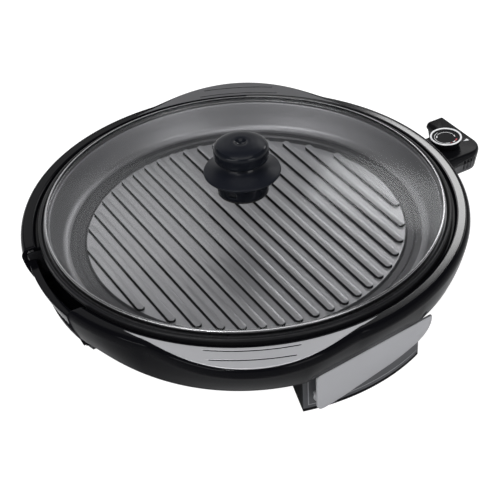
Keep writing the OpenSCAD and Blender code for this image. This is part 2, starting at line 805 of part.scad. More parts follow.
module contact_sleeves() {
    color(brass_tone) along(plug_a) for (v = [-pin_half, pin_half])
        translate([neck_u[0] + 1, v, pin_z]) rotate([0, 90, 0]) difference() {
            cylinder(r = 3.75, h = 16, $fn = 48);
            translate([0, 0, -1]) cylinder(r = pin_r + 0.35, h = 16.5, $fn = 48);
        }
}

module probe_rod() {
    rod_r = 2.8;
    tip = neck_u[0] - probe_len;
    color(steel) along(plug_a) translate([tip, 0, pin_z]) rotate([0, 90, 0]) {
        translate([0, 0, rod_r]) cylinder(r = rod_r, h = probe_len + 18, $fn = 48);
        translate([0, 0, rod_r]) sphere(r = rod_r, $fn = 48);
    }
}

module thermostat_switch() {
    floor_z = case_z[0] + case_wall + 0.1;
    color(steel) along(plug_a) difference() {
        union() {
            translate([dial_u - 12, -9, floor_z]) cube([24, 18, 9.5]);
            translate([dial_u - 9, -6, floor_z + 9]) cube([18, 12, 3]);
            translate([dial_u, 0, floor_z + 11]) cylinder(r = 5.5, h = 4, $fn = 48);
        }
        translate([dial_u, 0, floor_z + 4]) cylinder(r = shaft_r + 0.06, h = 20, $fn = 64);
    }
}

// A flat triangle outside the dial, with its point to the dial's scale.
module dial_pointer() {
    color("white") along(plug_a) translate([dial_u, 0, case_z[2] + 0.02]) linear_extrude(0.3)
        polygon([[19.5, -6], [25.7, -8.1], [25.7, -4]]);
}

// The dial widens upwards from its foot to the white ring.
dial_z = case_z[2] + 0.6;
dial_h = 9.2;

module dial_knob() {
    color(gloss_black) along(plug_a) translate([dial_u, 0, dial_z]) difference() {
        rotate_extrude() polygon([
            [0, 0], [dial_r - 3.4, 0], [dial_r - 2.9, 0.6], [dial_r - 0.2, dial_h], [dial_r - 2.7, dial_h],
            [dial_r - 2.9, dial_h + 0.6], [0, dial_h + 0.6]
        ]);
        translate([0, 0, -1]) cylinder(r = shaft_r + 0.02, h = 8, $fn = 64);
    }
}

module dial_ring() {
    z = dial_z + dial_h + 0.05;
    color("white") along(plug_a) translate([dial_u, 0, 0]) rotate_extrude() polygon([
        [dial_r - 2.5, z], [dial_r - 0.25, z], [dial_r - 0.5, z + 0.9], [dial_r - 2.2, z + 0.9]
    ]);
}

module dial_shaft() {
    foot_z = case_z[0] + case_wall + 4.6;
    color(steel) along(plug_a) translate([dial_u, 0, foot_z])
        cylinder(r = shaft_r, h = dial_z + 6.4 - foot_z, $fn = 64);
}

base_shell();
mounting_posts();
bottom_cover();
cover_screws();
front_handle_panel();
rear_handle_panel();
heat_reflector();
reflector_screws();
heating_element();
element_clips();
terminal_pins();
socket_block();
front_leg();
rear_leg();
leg_screws();
foot_pads();
tilt_pins();
front_tilt_foot();
rear_tilt_foot();
drip_tray();
grill_pan();
lid_glass();
lid_band();
knob_gasket();
knob_collar();
knob_guard();
knob_cap();
knob_screw();
knob_washer();
thermostat_top();
thermostat_bottom();
case_screws();
contact_block();
contact_sleeves();
probe_rod();
thermostat_switch();
cord_gland();
dial_pointer();
dial_knob();
dial_ring();
dial_shaft();
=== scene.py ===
"""Looks for a round electric table grill with a loose glass lid.

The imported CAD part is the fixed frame. Smooth, finely detailed pieces stand for the CAD nodes that show,
and every other node keeps its own mesh and takes a finish. Lengths are in millimetres until a mesh is made.
"""

import json
import logging
import math
from collections.abc import Callable, Iterator, Sequence
from dataclasses import dataclass
from enum import Enum

import bmesh
import bpy
import numpy as np
from mathutils import Matrix, Vector

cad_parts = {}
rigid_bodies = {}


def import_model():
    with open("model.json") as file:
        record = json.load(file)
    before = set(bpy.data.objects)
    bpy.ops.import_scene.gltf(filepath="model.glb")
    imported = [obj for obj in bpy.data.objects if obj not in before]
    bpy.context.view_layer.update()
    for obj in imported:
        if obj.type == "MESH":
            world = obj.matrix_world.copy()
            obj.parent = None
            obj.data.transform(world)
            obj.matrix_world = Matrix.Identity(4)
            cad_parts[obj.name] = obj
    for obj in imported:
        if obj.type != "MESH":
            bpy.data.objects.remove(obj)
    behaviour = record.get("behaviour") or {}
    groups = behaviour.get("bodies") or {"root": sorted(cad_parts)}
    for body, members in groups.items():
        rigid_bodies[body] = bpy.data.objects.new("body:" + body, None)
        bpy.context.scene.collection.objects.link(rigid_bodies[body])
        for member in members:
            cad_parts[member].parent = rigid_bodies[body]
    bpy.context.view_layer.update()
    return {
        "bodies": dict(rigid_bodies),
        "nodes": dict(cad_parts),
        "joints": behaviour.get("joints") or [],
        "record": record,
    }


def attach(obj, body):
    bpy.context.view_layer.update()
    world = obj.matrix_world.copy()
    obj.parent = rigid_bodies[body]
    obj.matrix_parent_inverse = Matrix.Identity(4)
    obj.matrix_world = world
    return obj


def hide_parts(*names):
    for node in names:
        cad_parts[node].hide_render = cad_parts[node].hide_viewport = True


LOG = logging.getLogger("grill")
MM = 0.001

# Directions from the middle, in degrees: the plug, the tray, a leg's flattened cheek and the leg itself.
PLUG_A = 29.0
TRAY_A = -152.0
CHEEK_A = -56.0
LEG_A = -58.9
# Heights over the table: the glass's crown, the pan's ledge, the lip, the widest line and the skirt's foot.
CROWN_Z = 114.0
LEDGE_Z = 90.0
LIP_Z = 94.0
OUTLINE_Z = 86.0
SKIRT_Z = 57.0
# The body's plan at its widest line and at the skirt's foot: its radius, how far it swells at a
# handle, and half the angle of that swell. CHEEK_D is the distance of the flattened cheek.
WIDE_R, WIDE_OUT, WIDE_A = 224.5, 20.3, 26.0
FOOT_R, FOOT_OUT, FOOT_A = 216.5, 13.5, 42.0
CHEEK_D = 212.0
# Half the width of the tray's notch, and the body's mean radius there.
NOTCH_HALF = 54.0
NOTCH_R = 215.0

Array = np.ndarray
Point = tuple[float, float]
Profile = list[Point]
Row = tuple[float, float, float, float]


class Body(str, Enum):
    """The CAD bodies that pieces ride on."""

    BASE = "base"
    PAN = "pan"
    LID = "lid"
    TRAY = "tray"
    THERMOSTAT = "thermostat"
    DIAL = "dial"
    FRONT_FOOT = "tilt_foot_front"
    REAR_FOOT = "tilt_foot_rear"


class Slot(str, Enum):
    """The record's material slots."""

    GLOSS = "gloss_black"
    DARK = "dark_plastic"
    LEG = "leg_grey"
    SILVER = "satin_silver"
    PAN = "coated_pan"
    GLASS = "clear_glass"
    BAND = "polished_steel"
    STEEL = "steel"
    ELEMENT = "element_steel"
    ALUMINIUM = "aluminium"
    RUBBER = "rubber"
    BRASS = "brass"
    WHITE = "white_plastic"


@dataclass(frozen=True)
class Finish:
    """How a surface looks.

    Attributes:
        name: The material's name.
        slot: The record's slot that it belongs to.
        colour: Base colour, linear.
        roughness: Mean roughness.
        metallic: 1 for bare metal, 0 for plastic.
        specular: Level of the surface's own reflection, 0.5 for a common plastic.
        spread: How far the roughness wanders from its mean.
        grain: Noise scale per metre.
        bump: Height of the grain, in millimetres.
        speckle: Share by which the colour varies with the grain.
    """

    name: str
    slot: Slot
    colour: tuple[float, float, float]
    roughness: float
    metallic: float = 0.0
    specular: float = 0.5
    spread: float = 0.03
    grain: float = 900.0
    bump: float = 0.0
    speckle: float = 0.0


GLOSS = Finish("gloss_black", Slot.GLOSS, (0.003, 0.003, 0.004), 0.10, specular=0.04, spread=0.02, grain=60)
KNOB = Finish("knob_black", Slot.GLOSS, (0.006, 0.007, 0.010), 0.11, specular=0.13, spread=0.02, grain=80)
KNOB_TOP = Finish("knob_satin", Slot.GLOSS, (0.006, 0.007, 0.011), 0.33, specular=0.09, spread=0.02,
                  grain=80)
CASE = Finish("case_black", Slot.GLOSS, (0.005, 0.005, 0.006), 0.24, specular=0.06, spread=0.03, grain=120)
# Painted sheen: a far stronger reflection than the rest of the shell, given only to the right side of the
# lip.
LIP = Finish("lip_painted_sheen", Slot.GLOSS, (0.004, 0.004, 0.005), 0.14, specular=0.9, spread=0.02, grain=60)
DIAL = Finish("dial_black", Slot.GLOSS, (0.005, 0.005, 0.006), 0.35, specular=0.04, grain=120)
CASE_SIDE = Finish("case_side", Slot.DARK, (0.070, 0.070, 0.073), 0.40, specular=0.25, grain=1500,
                   bump=0.02)
DARK = Finish("dark_plastic", Slot.DARK, (0.018, 0.018, 0.020), 0.45, specular=0.15, grain=1500, bump=0.02)
LEG = Finish("leg_grey", Slot.LEG, (0.075, 0.076, 0.082), 0.36, specular=0.25, grain=1500, bump=0.015)
# Painted shade: a near-black copy of the leg grey for its end walls, inner side and foot strip.
LEG_PAINTED_SHADE = Finish("leg_painted_shade", Slot.LEG, (0.005, 0.005, 0.006), 0.50, specular=0.06, grain=1500, bump=0.015)
LEG_LINE = Finish("leg_line", Slot.LEG, (0.24, 0.24, 0.25), 0.35, grain=1500)
SILVER = Finish("satin_silver", Slot.SILVER, (0.42, 0.42, 0.435), 0.40, metallic=0.55, grain=2500,
                bump=0.004)
# Painted shade: the rear handle's panel, the same silver as the front one, drawn much darker.
SILVER_PAINTED_SHADE = Finish("silver_painted_shade", Slot.SILVER, (0.09, 0.09, 0.095), 0.40, metallic=0.3, grain=2500,
                bump=0.004)
LEAF = Finish("leaf_silver", Slot.SILVER, (0.38, 0.38, 0.395), 0.38, metallic=0.55, grain=2500,
              bump=0.004)
COAT = Finish("coated_pan", Slot.PAN, (0.27, 0.27, 0.28), 0.34, metallic=0.6, spread=0.08, grain=1800,
              bump=0.03, speckle=0.25)
# The inner wall's darker copy of the coat: painted shade in its colour, while its full metal shows real
# reflections of the lamps.
WALL_PAINTED_SHADE = Finish("pan_wall_painted_shade", Slot.PAN, (0.21, 0.21, 0.22), 0.44, metallic=1.0, spread=0.04, grain=1800,
              speckle=0.08)
# Painted shade: a dark copy of the coat in and beside the drain groove, where the groove's shadow falls.
GROOVE_PAINTED_SHADE = Finish("pan_groove_painted_shade", Slot.PAN, (0.050, 0.050, 0.054), 0.42, metallic=0.6, grain=1800, speckle=0.1)
RIM = Finish("pan_rim", Slot.PAN, (0.008, 0.008, 0.009), 0.30, specular=0.15, grain=1400, bump=0.01,
             speckle=0.1)
# Painted shade: a near-black copy of the coat on the ribs' steep sides and in strips along their feet.
RIB_PAINTED_SHADE = Finish("rib_painted_shade", Slot.PAN, (0.010, 0.010, 0.011), 0.45, specular=0.08, grain=1800,
                  speckle=0.2)
BAND = Finish("polished_steel", Slot.BAND, (0.36, 0.36, 0.37), 0.25, metallic=1.0, grain=400)
# Painted shade: a dark copy of the polished steel for the band's side and lower faces.
BAND_PAINTED_SHADE = Finish("band_painted_shade", Slot.BAND, (0.11, 0.11, 0.115), 0.28, metallic=1.0, grain=400)
STEEL = Finish("steel", Slot.STEEL, (0.50, 0.50, 0.52), 0.32, metallic=1.0, grain=800)
ELEMENT = Finish("element_steel", Slot.ELEMENT, (0.14, 0.135, 0.13), 0.45, metallic=0.9, grain=500,
                 speckle=0.2)
ALUMINIUM = Finish("aluminium", Slot.ALUMINIUM, (0.66, 0.66, 0.68), 0.28, metallic=1.0, grain=300)
RUBBER = Finish("rubber", Slot.RUBBER, (0.012, 0.012, 0.012), 0.75, specular=0.2, grain=2200, bump=0.02)
BRASS = Finish("brass", Slot.BRASS, (0.60, 0.42, 0.16), 0.30, metallic=1.0, grain=700)
WHITE = Finish("white_plastic", Slot.WHITE, (0.80, 0.80, 0.81), 0.35, grain=1200)
RED = Finish("red_print", Slot.WHITE, (0.42, 0.012, 0.03), 0.40, grain=1200)
GLASS = Finish("clear_glass", Slot.GLASS, (0.93, 0.95, 0.96), 0.12, metallic=1.0)

# Index of refraction of the glass, the share of its reflection that shows, and the least that shows.
GLASS_IOR = 1.45
GLASS_SHARE = 0.35
GLASS_LEAST = 0.002


# ---- Material nodes ----


class Shading:
    """Builds the materials and the one node group that they share."""

    def __init__(self) -> None:
        self.made: dict[str, bpy.types.Material] = {}
        self.group = self._grain_group()

    @staticmethod
    def _grain_group() -> bpy.types.ShaderNodeTree:
        """Fine grain over a surface, as a roughness, a height and a colour factor.

        Returns:
            A group with the inputs Scale, Roughness, Spread and Speckle.
        """
        tree = bpy.data.node_groups.new("SurfaceGrain", "ShaderNodeTree")
        face = tree.interface
        for name, high in (("Scale", 10000.0), ("Roughness", 1.0), ("Spread", 1.0), ("Speckle", 1.0)):
            made = face.new_socket(name=name, in_out="INPUT", socket_type="NodeSocketFloat")
            made.min_value, made.max_value = 0.0, high
        for name in ("Roughness", "Height", "Tone"):
            face.new_socket(name=name, in_out="OUTPUT", socket_type="NodeSocketFloat")
        nodes, link = tree.nodes, tree.links.new
        start, end = nodes.new("NodeGroupInput"), nodes.new("NodeGroupOutput")
        place = nodes.new("ShaderNodeTexCoord")
        fine, broad = nodes.new("ShaderNodeTexNoise"), nodes.new("ShaderNodeTexNoise")
        fine.inputs["Detail"].default_value = 3.0
        broad.inputs["Scale"].default_value = 14.0
        broad.inputs["Detail"].default_value = 2.0
        link(place.outputs["Object"], fine.inputs["Vector"])
        link(place.outputs["Object"], broad.inputs["Vector"])
        link(start.outputs["Scale"], fine.inputs["Scale"])
        both = Shading._math(tree, "ADD", fine.outputs["Fac"], broad.outputs["Fac"])
        centred = Shading._math(tree, "SUBTRACT", both, 1.0)
        wander = Shading._math(tree, "MULTIPLY", centred, start.outputs["Spread"])
        rough = Shading._math(tree, "ADD", wander, start.outputs["Roughness"])
        off = Shading._math(tree, "SUBTRACT", fine.outputs["Fac"], 0.5)
        wide = Shading._math(tree, "MULTIPLY", off, 2.0)
        share = Shading._math(tree, "MULTIPLY", wide, start.outputs["Speckle"])
        tone = Shading._math(tree, "ADD", share, 1.0)
        link(rough, end.inputs["Roughness"])
        link(fine.outputs["Fac"], end.inputs["Height"])
        link(tone, end.inputs["Tone"])
        return tree

    @staticmethod
    def _math(tree: bpy.types.NodeTree, kind: str, a: object, b: object,
              clamp: bool = False) -> bpy.types.NodeSocket:
        """Adds a math node.

        Args:
            tree: The tree that it goes in.
            kind: The operation.
            a: The first socket or number.
            b: The second socket or number.
            clamp: Whether the result stays in 0 to 1.

        Returns:
            The node's output.
        """
        node = tree.nodes.new("ShaderNodeMath")
        node.operation, node.use_clamp = kind, clamp
        for i, value in enumerate((a, b)):
            if isinstance(value, bpy.types.NodeSocket):
                tree.links.new(value, node.inputs[i])
            else:
                node.inputs[i].default_value = value
        return node.outputs[0]

    def material(self, finish: Finish) -> bpy.types.Material:
        """The material of a finish, made once.

        Args:
            finish: What it looks like.

        Returns:
            The material.
        """
        if finish.name not in self.made:
            self.made[finish.name] = self._glass(finish) if finish is GLASS else self._solid(finish)
        return self.made[finish.name]

    def _solid(self, finish: Finish) -> bpy.types.Material:
        """The material of an opaque finish.

        Args:
            finish: What it looks like.

        Returns:
            The material.
        """
        material, tree, shader = self._blank(finish)
        grain = tree.nodes.new("ShaderNodeGroup")
        grain.node_tree = self.group
        for name, value in (("Scale", finish.grain), ("Roughness", finish.roughness),
                            ("Spread", finish.spread), ("Speckle", finish.speckle)):
            grain.inputs[name].default_value = value
        shader.inputs["Specular IOR Level"].default_value = finish.specular
        tree.links.new(grain.outputs["Roughness"], shader.inputs["Roughness"])
        if finish.speckle > 0:
            mix = tree.nodes.new("ShaderNodeVectorMath")
            mix.operation = "SCALE"
            mix.inputs[0].default_value = finish.colour
            tree.links.new(grain.outputs["Tone"], mix.inputs["Scale"])
            tree.links.new(mix.outputs[0], shader.inputs["Base Color"])
        if finish.bump > 0:
            bump = tree.nodes.new("ShaderNodeBump")
            bump.inputs["Strength"].default_value = 0.5
            bump.inputs["Distance"].default_value = finish.bump * MM
            tree.links.new(grain.outputs["Height"], bump.inputs["Height"])
            tree.links.new(bump.outputs["Normal"], shader.inputs["Normal"])
        return material

    def _glass(self, finish: Finish) -> bpy.types.Material:
        """Thin clear glass: a bright skin that shows only as far as Fresnel reflection does.

        Args:
            finish: What its reflection looks like.

        Returns:
            The material.
        """
        material, tree, shader = self._blank(finish)
        shader.inputs["Roughness"].default_value = finish.roughness
        fresnel = tree.nodes.new("ShaderNodeFresnel")
        fresnel.inputs["IOR"].default_value = GLASS_IOR
        side = tree.nodes.new("ShaderNodeNewGeometry")
        outside = self._math(tree, "SUBTRACT", 1.0, side.outputs["Backfacing"])
        front = self._math(tree, "MULTIPLY", fresnel.outputs["Fac"], outside)
        shown = self._math(tree, "MULTIPLY", front, GLASS_SHARE)
        alpha = self._math(tree, "ADD", shown, GLASS_LEAST, clamp=True)
        tree.links.new(alpha, shader.inputs["Alpha"])
        material.surface_render_method = "BLENDED"
        return material

    @staticmethod
    def _blank(finish: Finish) -> tuple[bpy.types.Material, bpy.types.NodeTree, bpy.types.Node]:
        """A new material with one Principled shader in a finish's colour.

        Args:
            finish: What gives its name, colour and metal.

        Returns:
            The material, its tree and the shader.
        """
        material = bpy.data.materials.new(finish.name)
        material.use_nodes = True
        tree = material.node_tree
        shader = tree.nodes["Principled BSDF"]
        shader.inputs["Base Color"].default_value = (*finish.colour, 1.0)
        shader.inputs["Metallic"].default_value = finish.metallic
        return material, tree, shader


# ---- Shapes ----


def bell(t: Array | float) -> Array:
    """A smooth hump, (1 - t^2)^1.5 inside -1 to 1 and nothing outside."""
    return np.maximum(1.0 - np.square(np.asarray(t, float)), 0.0) ** 1.5


def off_handle(a: Array | float) -> Array:
    """Angle in degrees from direction a to the nearer handle."""
    return np.degrees(np.arccos(np.minimum(1.0, np.abs(np.sin(np.radians(a))))))


def lip_outline(a: Array | float) -> Array:
    """Radius of the body at its widest in direction a, in degrees: a circle with two swells."""
    return WIDE_R + WIDE_OUT * bell(off_handle(a) / WIDE_A)


def skirt_outline(a: Array | float) -> Array:
    """Radius of the skirt's lower edge: a circle with two swells, cut straight at the cheeks.

    Args:
        a: Directions in degrees.

    Returns:
        Radii, of a's shape.
    """
    plain = FOOT_R + FOOT_OUT * bell(off_handle(a) / FOOT_A)
    flat = CHEEK_D / np.maximum(0.5, np.abs(np.cos(np.radians(np.asarray(a, float) - CHEEK_A))))
    return np.minimum(plain, flat)


def turn(points: Array, degrees: float) -> Array:
    """Turns points about the vertical axis."""
    c, s = math.cos(math.radians(degrees)), math.sin(math.radians(degrees))
    return points @ np.array([[c, -s, 0.0], [s, c, 0.0], [0.0, 0.0, 1.0]]).T


def corner(a: Point, b: Point, c: Point, r: float, steps: int = 5) -> Profile:
    """Rounds the corner b of a path from a over b to c.

    Args:
        a: The point before the corner.
        b: The corner.
        c: The point after it.
        r: The length that the rounding takes of either side.
        steps: How many segments it has.

    Returns:
        The rounded corner's points, a quadratic curve with b as its control point.
    """
    p, q, s = (np.array(v, float) for v in (a, b, c))
    start = q + (p - q) * min(0.5, r / max(1e-9, np.linalg.norm(p - q)))
    end = q + (s - q) * min(0.5, r / max(1e-9, np.linalg.norm(s - q)))
    ts = np.linspace(0.0, 1.0, steps + 1)[:, None]
    curve = (1 - ts) ** 2 * start + 2 * ts * (1 - ts) * q + ts**2 * end
    return [tuple(v) for v in curve]


def rounded(path: Sequence[tuple[float, float, float]], closed: bool = False, steps: int = 5) -> Profile:
    """A path with each corner rounded by its own length.

    Args:
        path: Points as (x, y, rounding).
        closed: Whether the last point joins the first.
        steps: Segments in each rounding.

    Returns:
        The rounded path.
    """
    out: Profile = []
    n = len(path)
    for i, (x, y, r) in enumerate(path):
        if r <= 0 or (not closed and i in (0, n - 1)):
            out.append((x, y))
        else:
            before, after = path[i - 1][:2], path[(i + 1) % n][:2]
            out.extend(corner(before, (x, y), after, r, steps))
    return out


class Surface:
    """Collects grids of points in millimetres and turns them into one mesh."""

    def __init__(self) -> None:
        self.points: list[Array] = []
        self.faces: list[tuple[int, ...]] = []
        self.count = 0

    def grid(self, points: Array, wrap_rows: bool = False, wrap_columns: bool = False) -> Array:
        """Adds a grid of quads.

        Args:
            points: Rows by columns by 3.
            wrap_rows: Whether the last row joins the first.
            wrap_columns: Whether the last column joins the first.

        Returns:
            The points' indices, rows by columns.
        """
        rows, columns = points.shape[:2]
        ids = self._add(points.reshape(-1, 3)).reshape(rows, columns)
        down = np.vstack([ids, ids[:1]]) if wrap_rows else ids
        full = np.hstack([down, down[:, :1]]) if wrap_columns else down
        quads = np.stack([full[:-1, :-1], full[1:, :-1], full[1:, 1:], full[:-1, 1:]], -1).reshape(-1, 4)
        self.faces.extend(map(tuple, quads.tolist()))
        return ids

    def cap(self, ids: Sequence[int], flip: bool = False) -> None:
        """Closes a loop of existing points with one flat face.

        Args:
            ids: The loop's point indices.
            flip: Whether its order is turned round.
        """
        order = list(map(int, ids))
        self.faces.append(tuple(reversed(order)) if flip else tuple(order))

    def join(self, other: "Surface") -> None:
        """Takes in another surface's points and faces.

        Args:
            other: The surface, which stays as it is.
        """
        shift = self.count
        for points in other.points:
            self._add(points)
        self.faces.extend(tuple(i + shift for i in face) for face in other.faces)

    def moved(self, offset: Sequence[float]) -> "Surface":
        """Shifts every point by an offset and returns this surface."""
        self.points = [p + np.array(offset) for p in self.points]
        return self

    def _add(self, points: Array) -> Array:
        """Stores points.

        Args:
            points: Count by 3.

        Returns:
            Their indices.
        """
        ids = np.arange(self.count, self.count + len(points))
        self.points.append(points)
        self.count += len(points)
        return ids

    def mesh(self, name: str, sharp: float = 40.0) -> bpy.types.Object:
        """Makes the mesh object, in metres, with its faces turned outwards.

        Args:
            name: The object's name.
            sharp: Edges that bend by more than this many degrees stay crisp.

        Returns:
            The object, linked to the scene.
        """
        data = bpy.data.meshes.new(name)
        data.from_pydata((np.vstack(self.points) * MM).tolist(), [], self.faces)
        work = bmesh.new()
        work.from_mesh(data)
        bmesh.ops.remove_doubles(work, verts=work.verts, dist=1e-6)
        bmesh.ops.recalc_face_normals(work, faces=work.faces)
        work.to_mesh(data)
        work.free()
        data.shade_smooth()
        data.set_sharp_from_angle(angle=math.radians(sharp))
        made = bpy.data.objects.new(name, data)
        bpy.context.scene.collection.objects.link(made)
        return made


def revolve(profile: Profile, steps: int = 256, start: float = 0.0, sweep: float = 360.0,
            closed: bool = True) -> Surface:
    """Turns a profile of (radius, height) about the vertical axis.

    Args:
        profile: The section.
        steps: Segments round the axis.
        start: First direction in degrees.
        sweep: Angle turned through.
        closed: Whether the section is a closed loop.

    Returns:
        The surface, with flat ends when it isn't a full turn.
    """
    section = np.array(profile, float)
    full = sweep >= 360.0
    angles = np.radians(start + np.linspace(0.0, sweep, steps + 1)[: steps if full else steps + 1])
    points = np.stack([
        np.outer(np.cos(angles), section[:, 0]),
        np.outer(np.sin(angles), section[:, 0]),
        np.tile(section[:, 1], (len(angles), 1)),
    ], -1)
    made = Surface()
    ids = made.grid(points, wrap_rows=full, wrap_columns=closed)
    if closed and not full:
        made.cap(ids[0])
        made.cap(ids[-1], flip=True)
    return made


def loft(loops: Sequence[Array], cap_first: bool = True, cap_last: bool = True) -> Surface:
    """Joins closed loops of equal length one after another.

    Args:
        loops: Each loop's points, count by 3.
        cap_first: Whether the first loop is closed with a face.
        cap_last: Whether the last loop is closed with a face.

    Returns:
        The surface.
    """
    made = Surface()
    ids = made.grid(np.stack(loops), wrap_columns=True)
    if cap_first:
        made.cap(ids[0])
    if cap_last:
        made.cap(ids[-1], flip=True)
    return made


def prism(outline: Array, low: float, high: float, degrees: float = 0.0) -> Surface:
    """A straight prism over a plan outline.

    Args:
        outline: Plan points, count by 2.
        low: Height of its foot.
        high: Height of its top.
        degrees: Turn about the vertical axis.

    Returns:
        The closed surface.
    """
    flat = np.asarray(outline, float)
    return loft([turn(np.column_stack([flat, np.full(len(flat), z)]), degrees) for z in (low, high)])


def box_plan(u0: float, u1: float, v0: float, v1: float) -> Array:
    """The plan outline of a box from u0 to u1 and from v0 to v1."""
    return np.array([(u0, v0), (u1, v0), (u1, v1), (u0, v1)])


def slab(face: Profile, near: float, far: float, degrees: float) -> Surface:
    """A flat plate that stands on edge along a direction.

    Args:
        face: Its side, as points of (distance from the middle, height).
        near: Sideways place of its first side.
        far: Sideways place of its second side.
        degrees: The direction.

    Returns:
        The closed surface.
    """
    return loft([turn(np.array([(u, v, z) for u, z in face]), degrees) for v in (near, far)])


def carve(target: bpy.types.Object, cutter: Surface) -> None:
    """Cuts a closed surface's space out of an object.

    Args:
        target: The object that is cut, which keeps its name.
        cutter: The space that goes.
    """
    tool = cutter.mesh("cutter")
    change = target.modifiers.new("cut", "BOOLEAN")
    change.operation, change.solver, change.object = "DIFFERENCE", "EXACT", tool
    graph = bpy.context.evaluated_depsgraph_get()
    cut = bpy.data.meshes.new_from_object(target.evaluated_get(graph))
    target.modifiers.clear()
    target.data = cut
    bpy.data.objects.remove(tool)


# ---- The grill ----


@dataclass
class Grill:
    """Builds every piece of the grill and dresses the CAD nodes.

    Attributes:
        shading: The materials.
    """

    frame: dict
    shading: Shading

    def build(self) -> None:
        """Builds all pieces."""
        for part in (BaseShell, HandlePanels, Pan, Lid, Knob, Tray, Thermostat, Dial, Legs, TiltFeet):
            part(self).build()
        self.dress_nodes()

    def add(self, surface: Surface | bpy.types.Object, name: str, finish: Finish, body: Body,
            nodes: Sequence[str] = (), sharp: float = 40.0) -> bpy.types.Object:
        """Makes a piece, gives it its finish and lets it ride.

        Args:
            surface: Its shape, or an object that is already made.
            name: Its name.
            finish: What it looks like.
            body: The CAD body that it rides on.
            nodes: CAD nodes that it stands for.
            sharp: Edges that bend by more than this many degrees stay crisp.

        Returns:
            The object.
        """
        made = surface.mesh(name, sharp) if isinstance(surface, Surface) else surface
        made.data.materials.clear()
        made.data.materials.append(self.shading.material(finish))
        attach(made, body.value)
        if nodes:
            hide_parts(*nodes)
        LOG.info("%s: %d faces on %s", name, len(made.data.polygons), body.value)
        return made

    def paint(self, piece: bpy.types.Object, finish: Finish,
              chosen: Callable[[Vector, Vector], bool]) -> None:
        """Gives some faces of a piece another finish.

        Args:
            piece: The piece.
            finish: The other finish.
            chosen: Tells from a face's centre, in metres, and its normal whether it takes it.
        """
        piece.data.materials.append(self.shading.material(finish))
        index = len(piece.data.materials) - 1
        for face in piece.data.polygons:
            if chosen(face.center, face.normal):
                face.material_index = index

    def dress_nodes(self) -> None:
        """Gives every CAD node the finish of its slot."""
        finishes = {
            Slot.GLOSS: GLOSS, Slot.DARK: DARK, Slot.LEG: LEG, Slot.SILVER: SILVER, Slot.PAN: COAT,
            Slot.BAND: BAND, Slot.STEEL: STEEL, Slot.ELEMENT: ELEMENT, Slot.ALUMINIUM: ALUMINIUM,
            Slot.RUBBER: RUBBER, Slot.BRASS: BRASS, Slot.WHITE: WHITE, Slot.GLASS: GLASS,
        }
        slots = {s["node"]: s["material_slot"] for s in self.frame["record"]["subparts"]}
        for name, node in self.frame["nodes"].items():
            slot = Slot(slots[name])
            node.data.materials.clear()
            node.data.materials.append(self.shading.material(finishes[slot]))


@dataclass
class Part:
    """One group of pieces of the grill.

    Attributes:
        grill: The grill that the pieces are added to.
    """

    grill: Grill


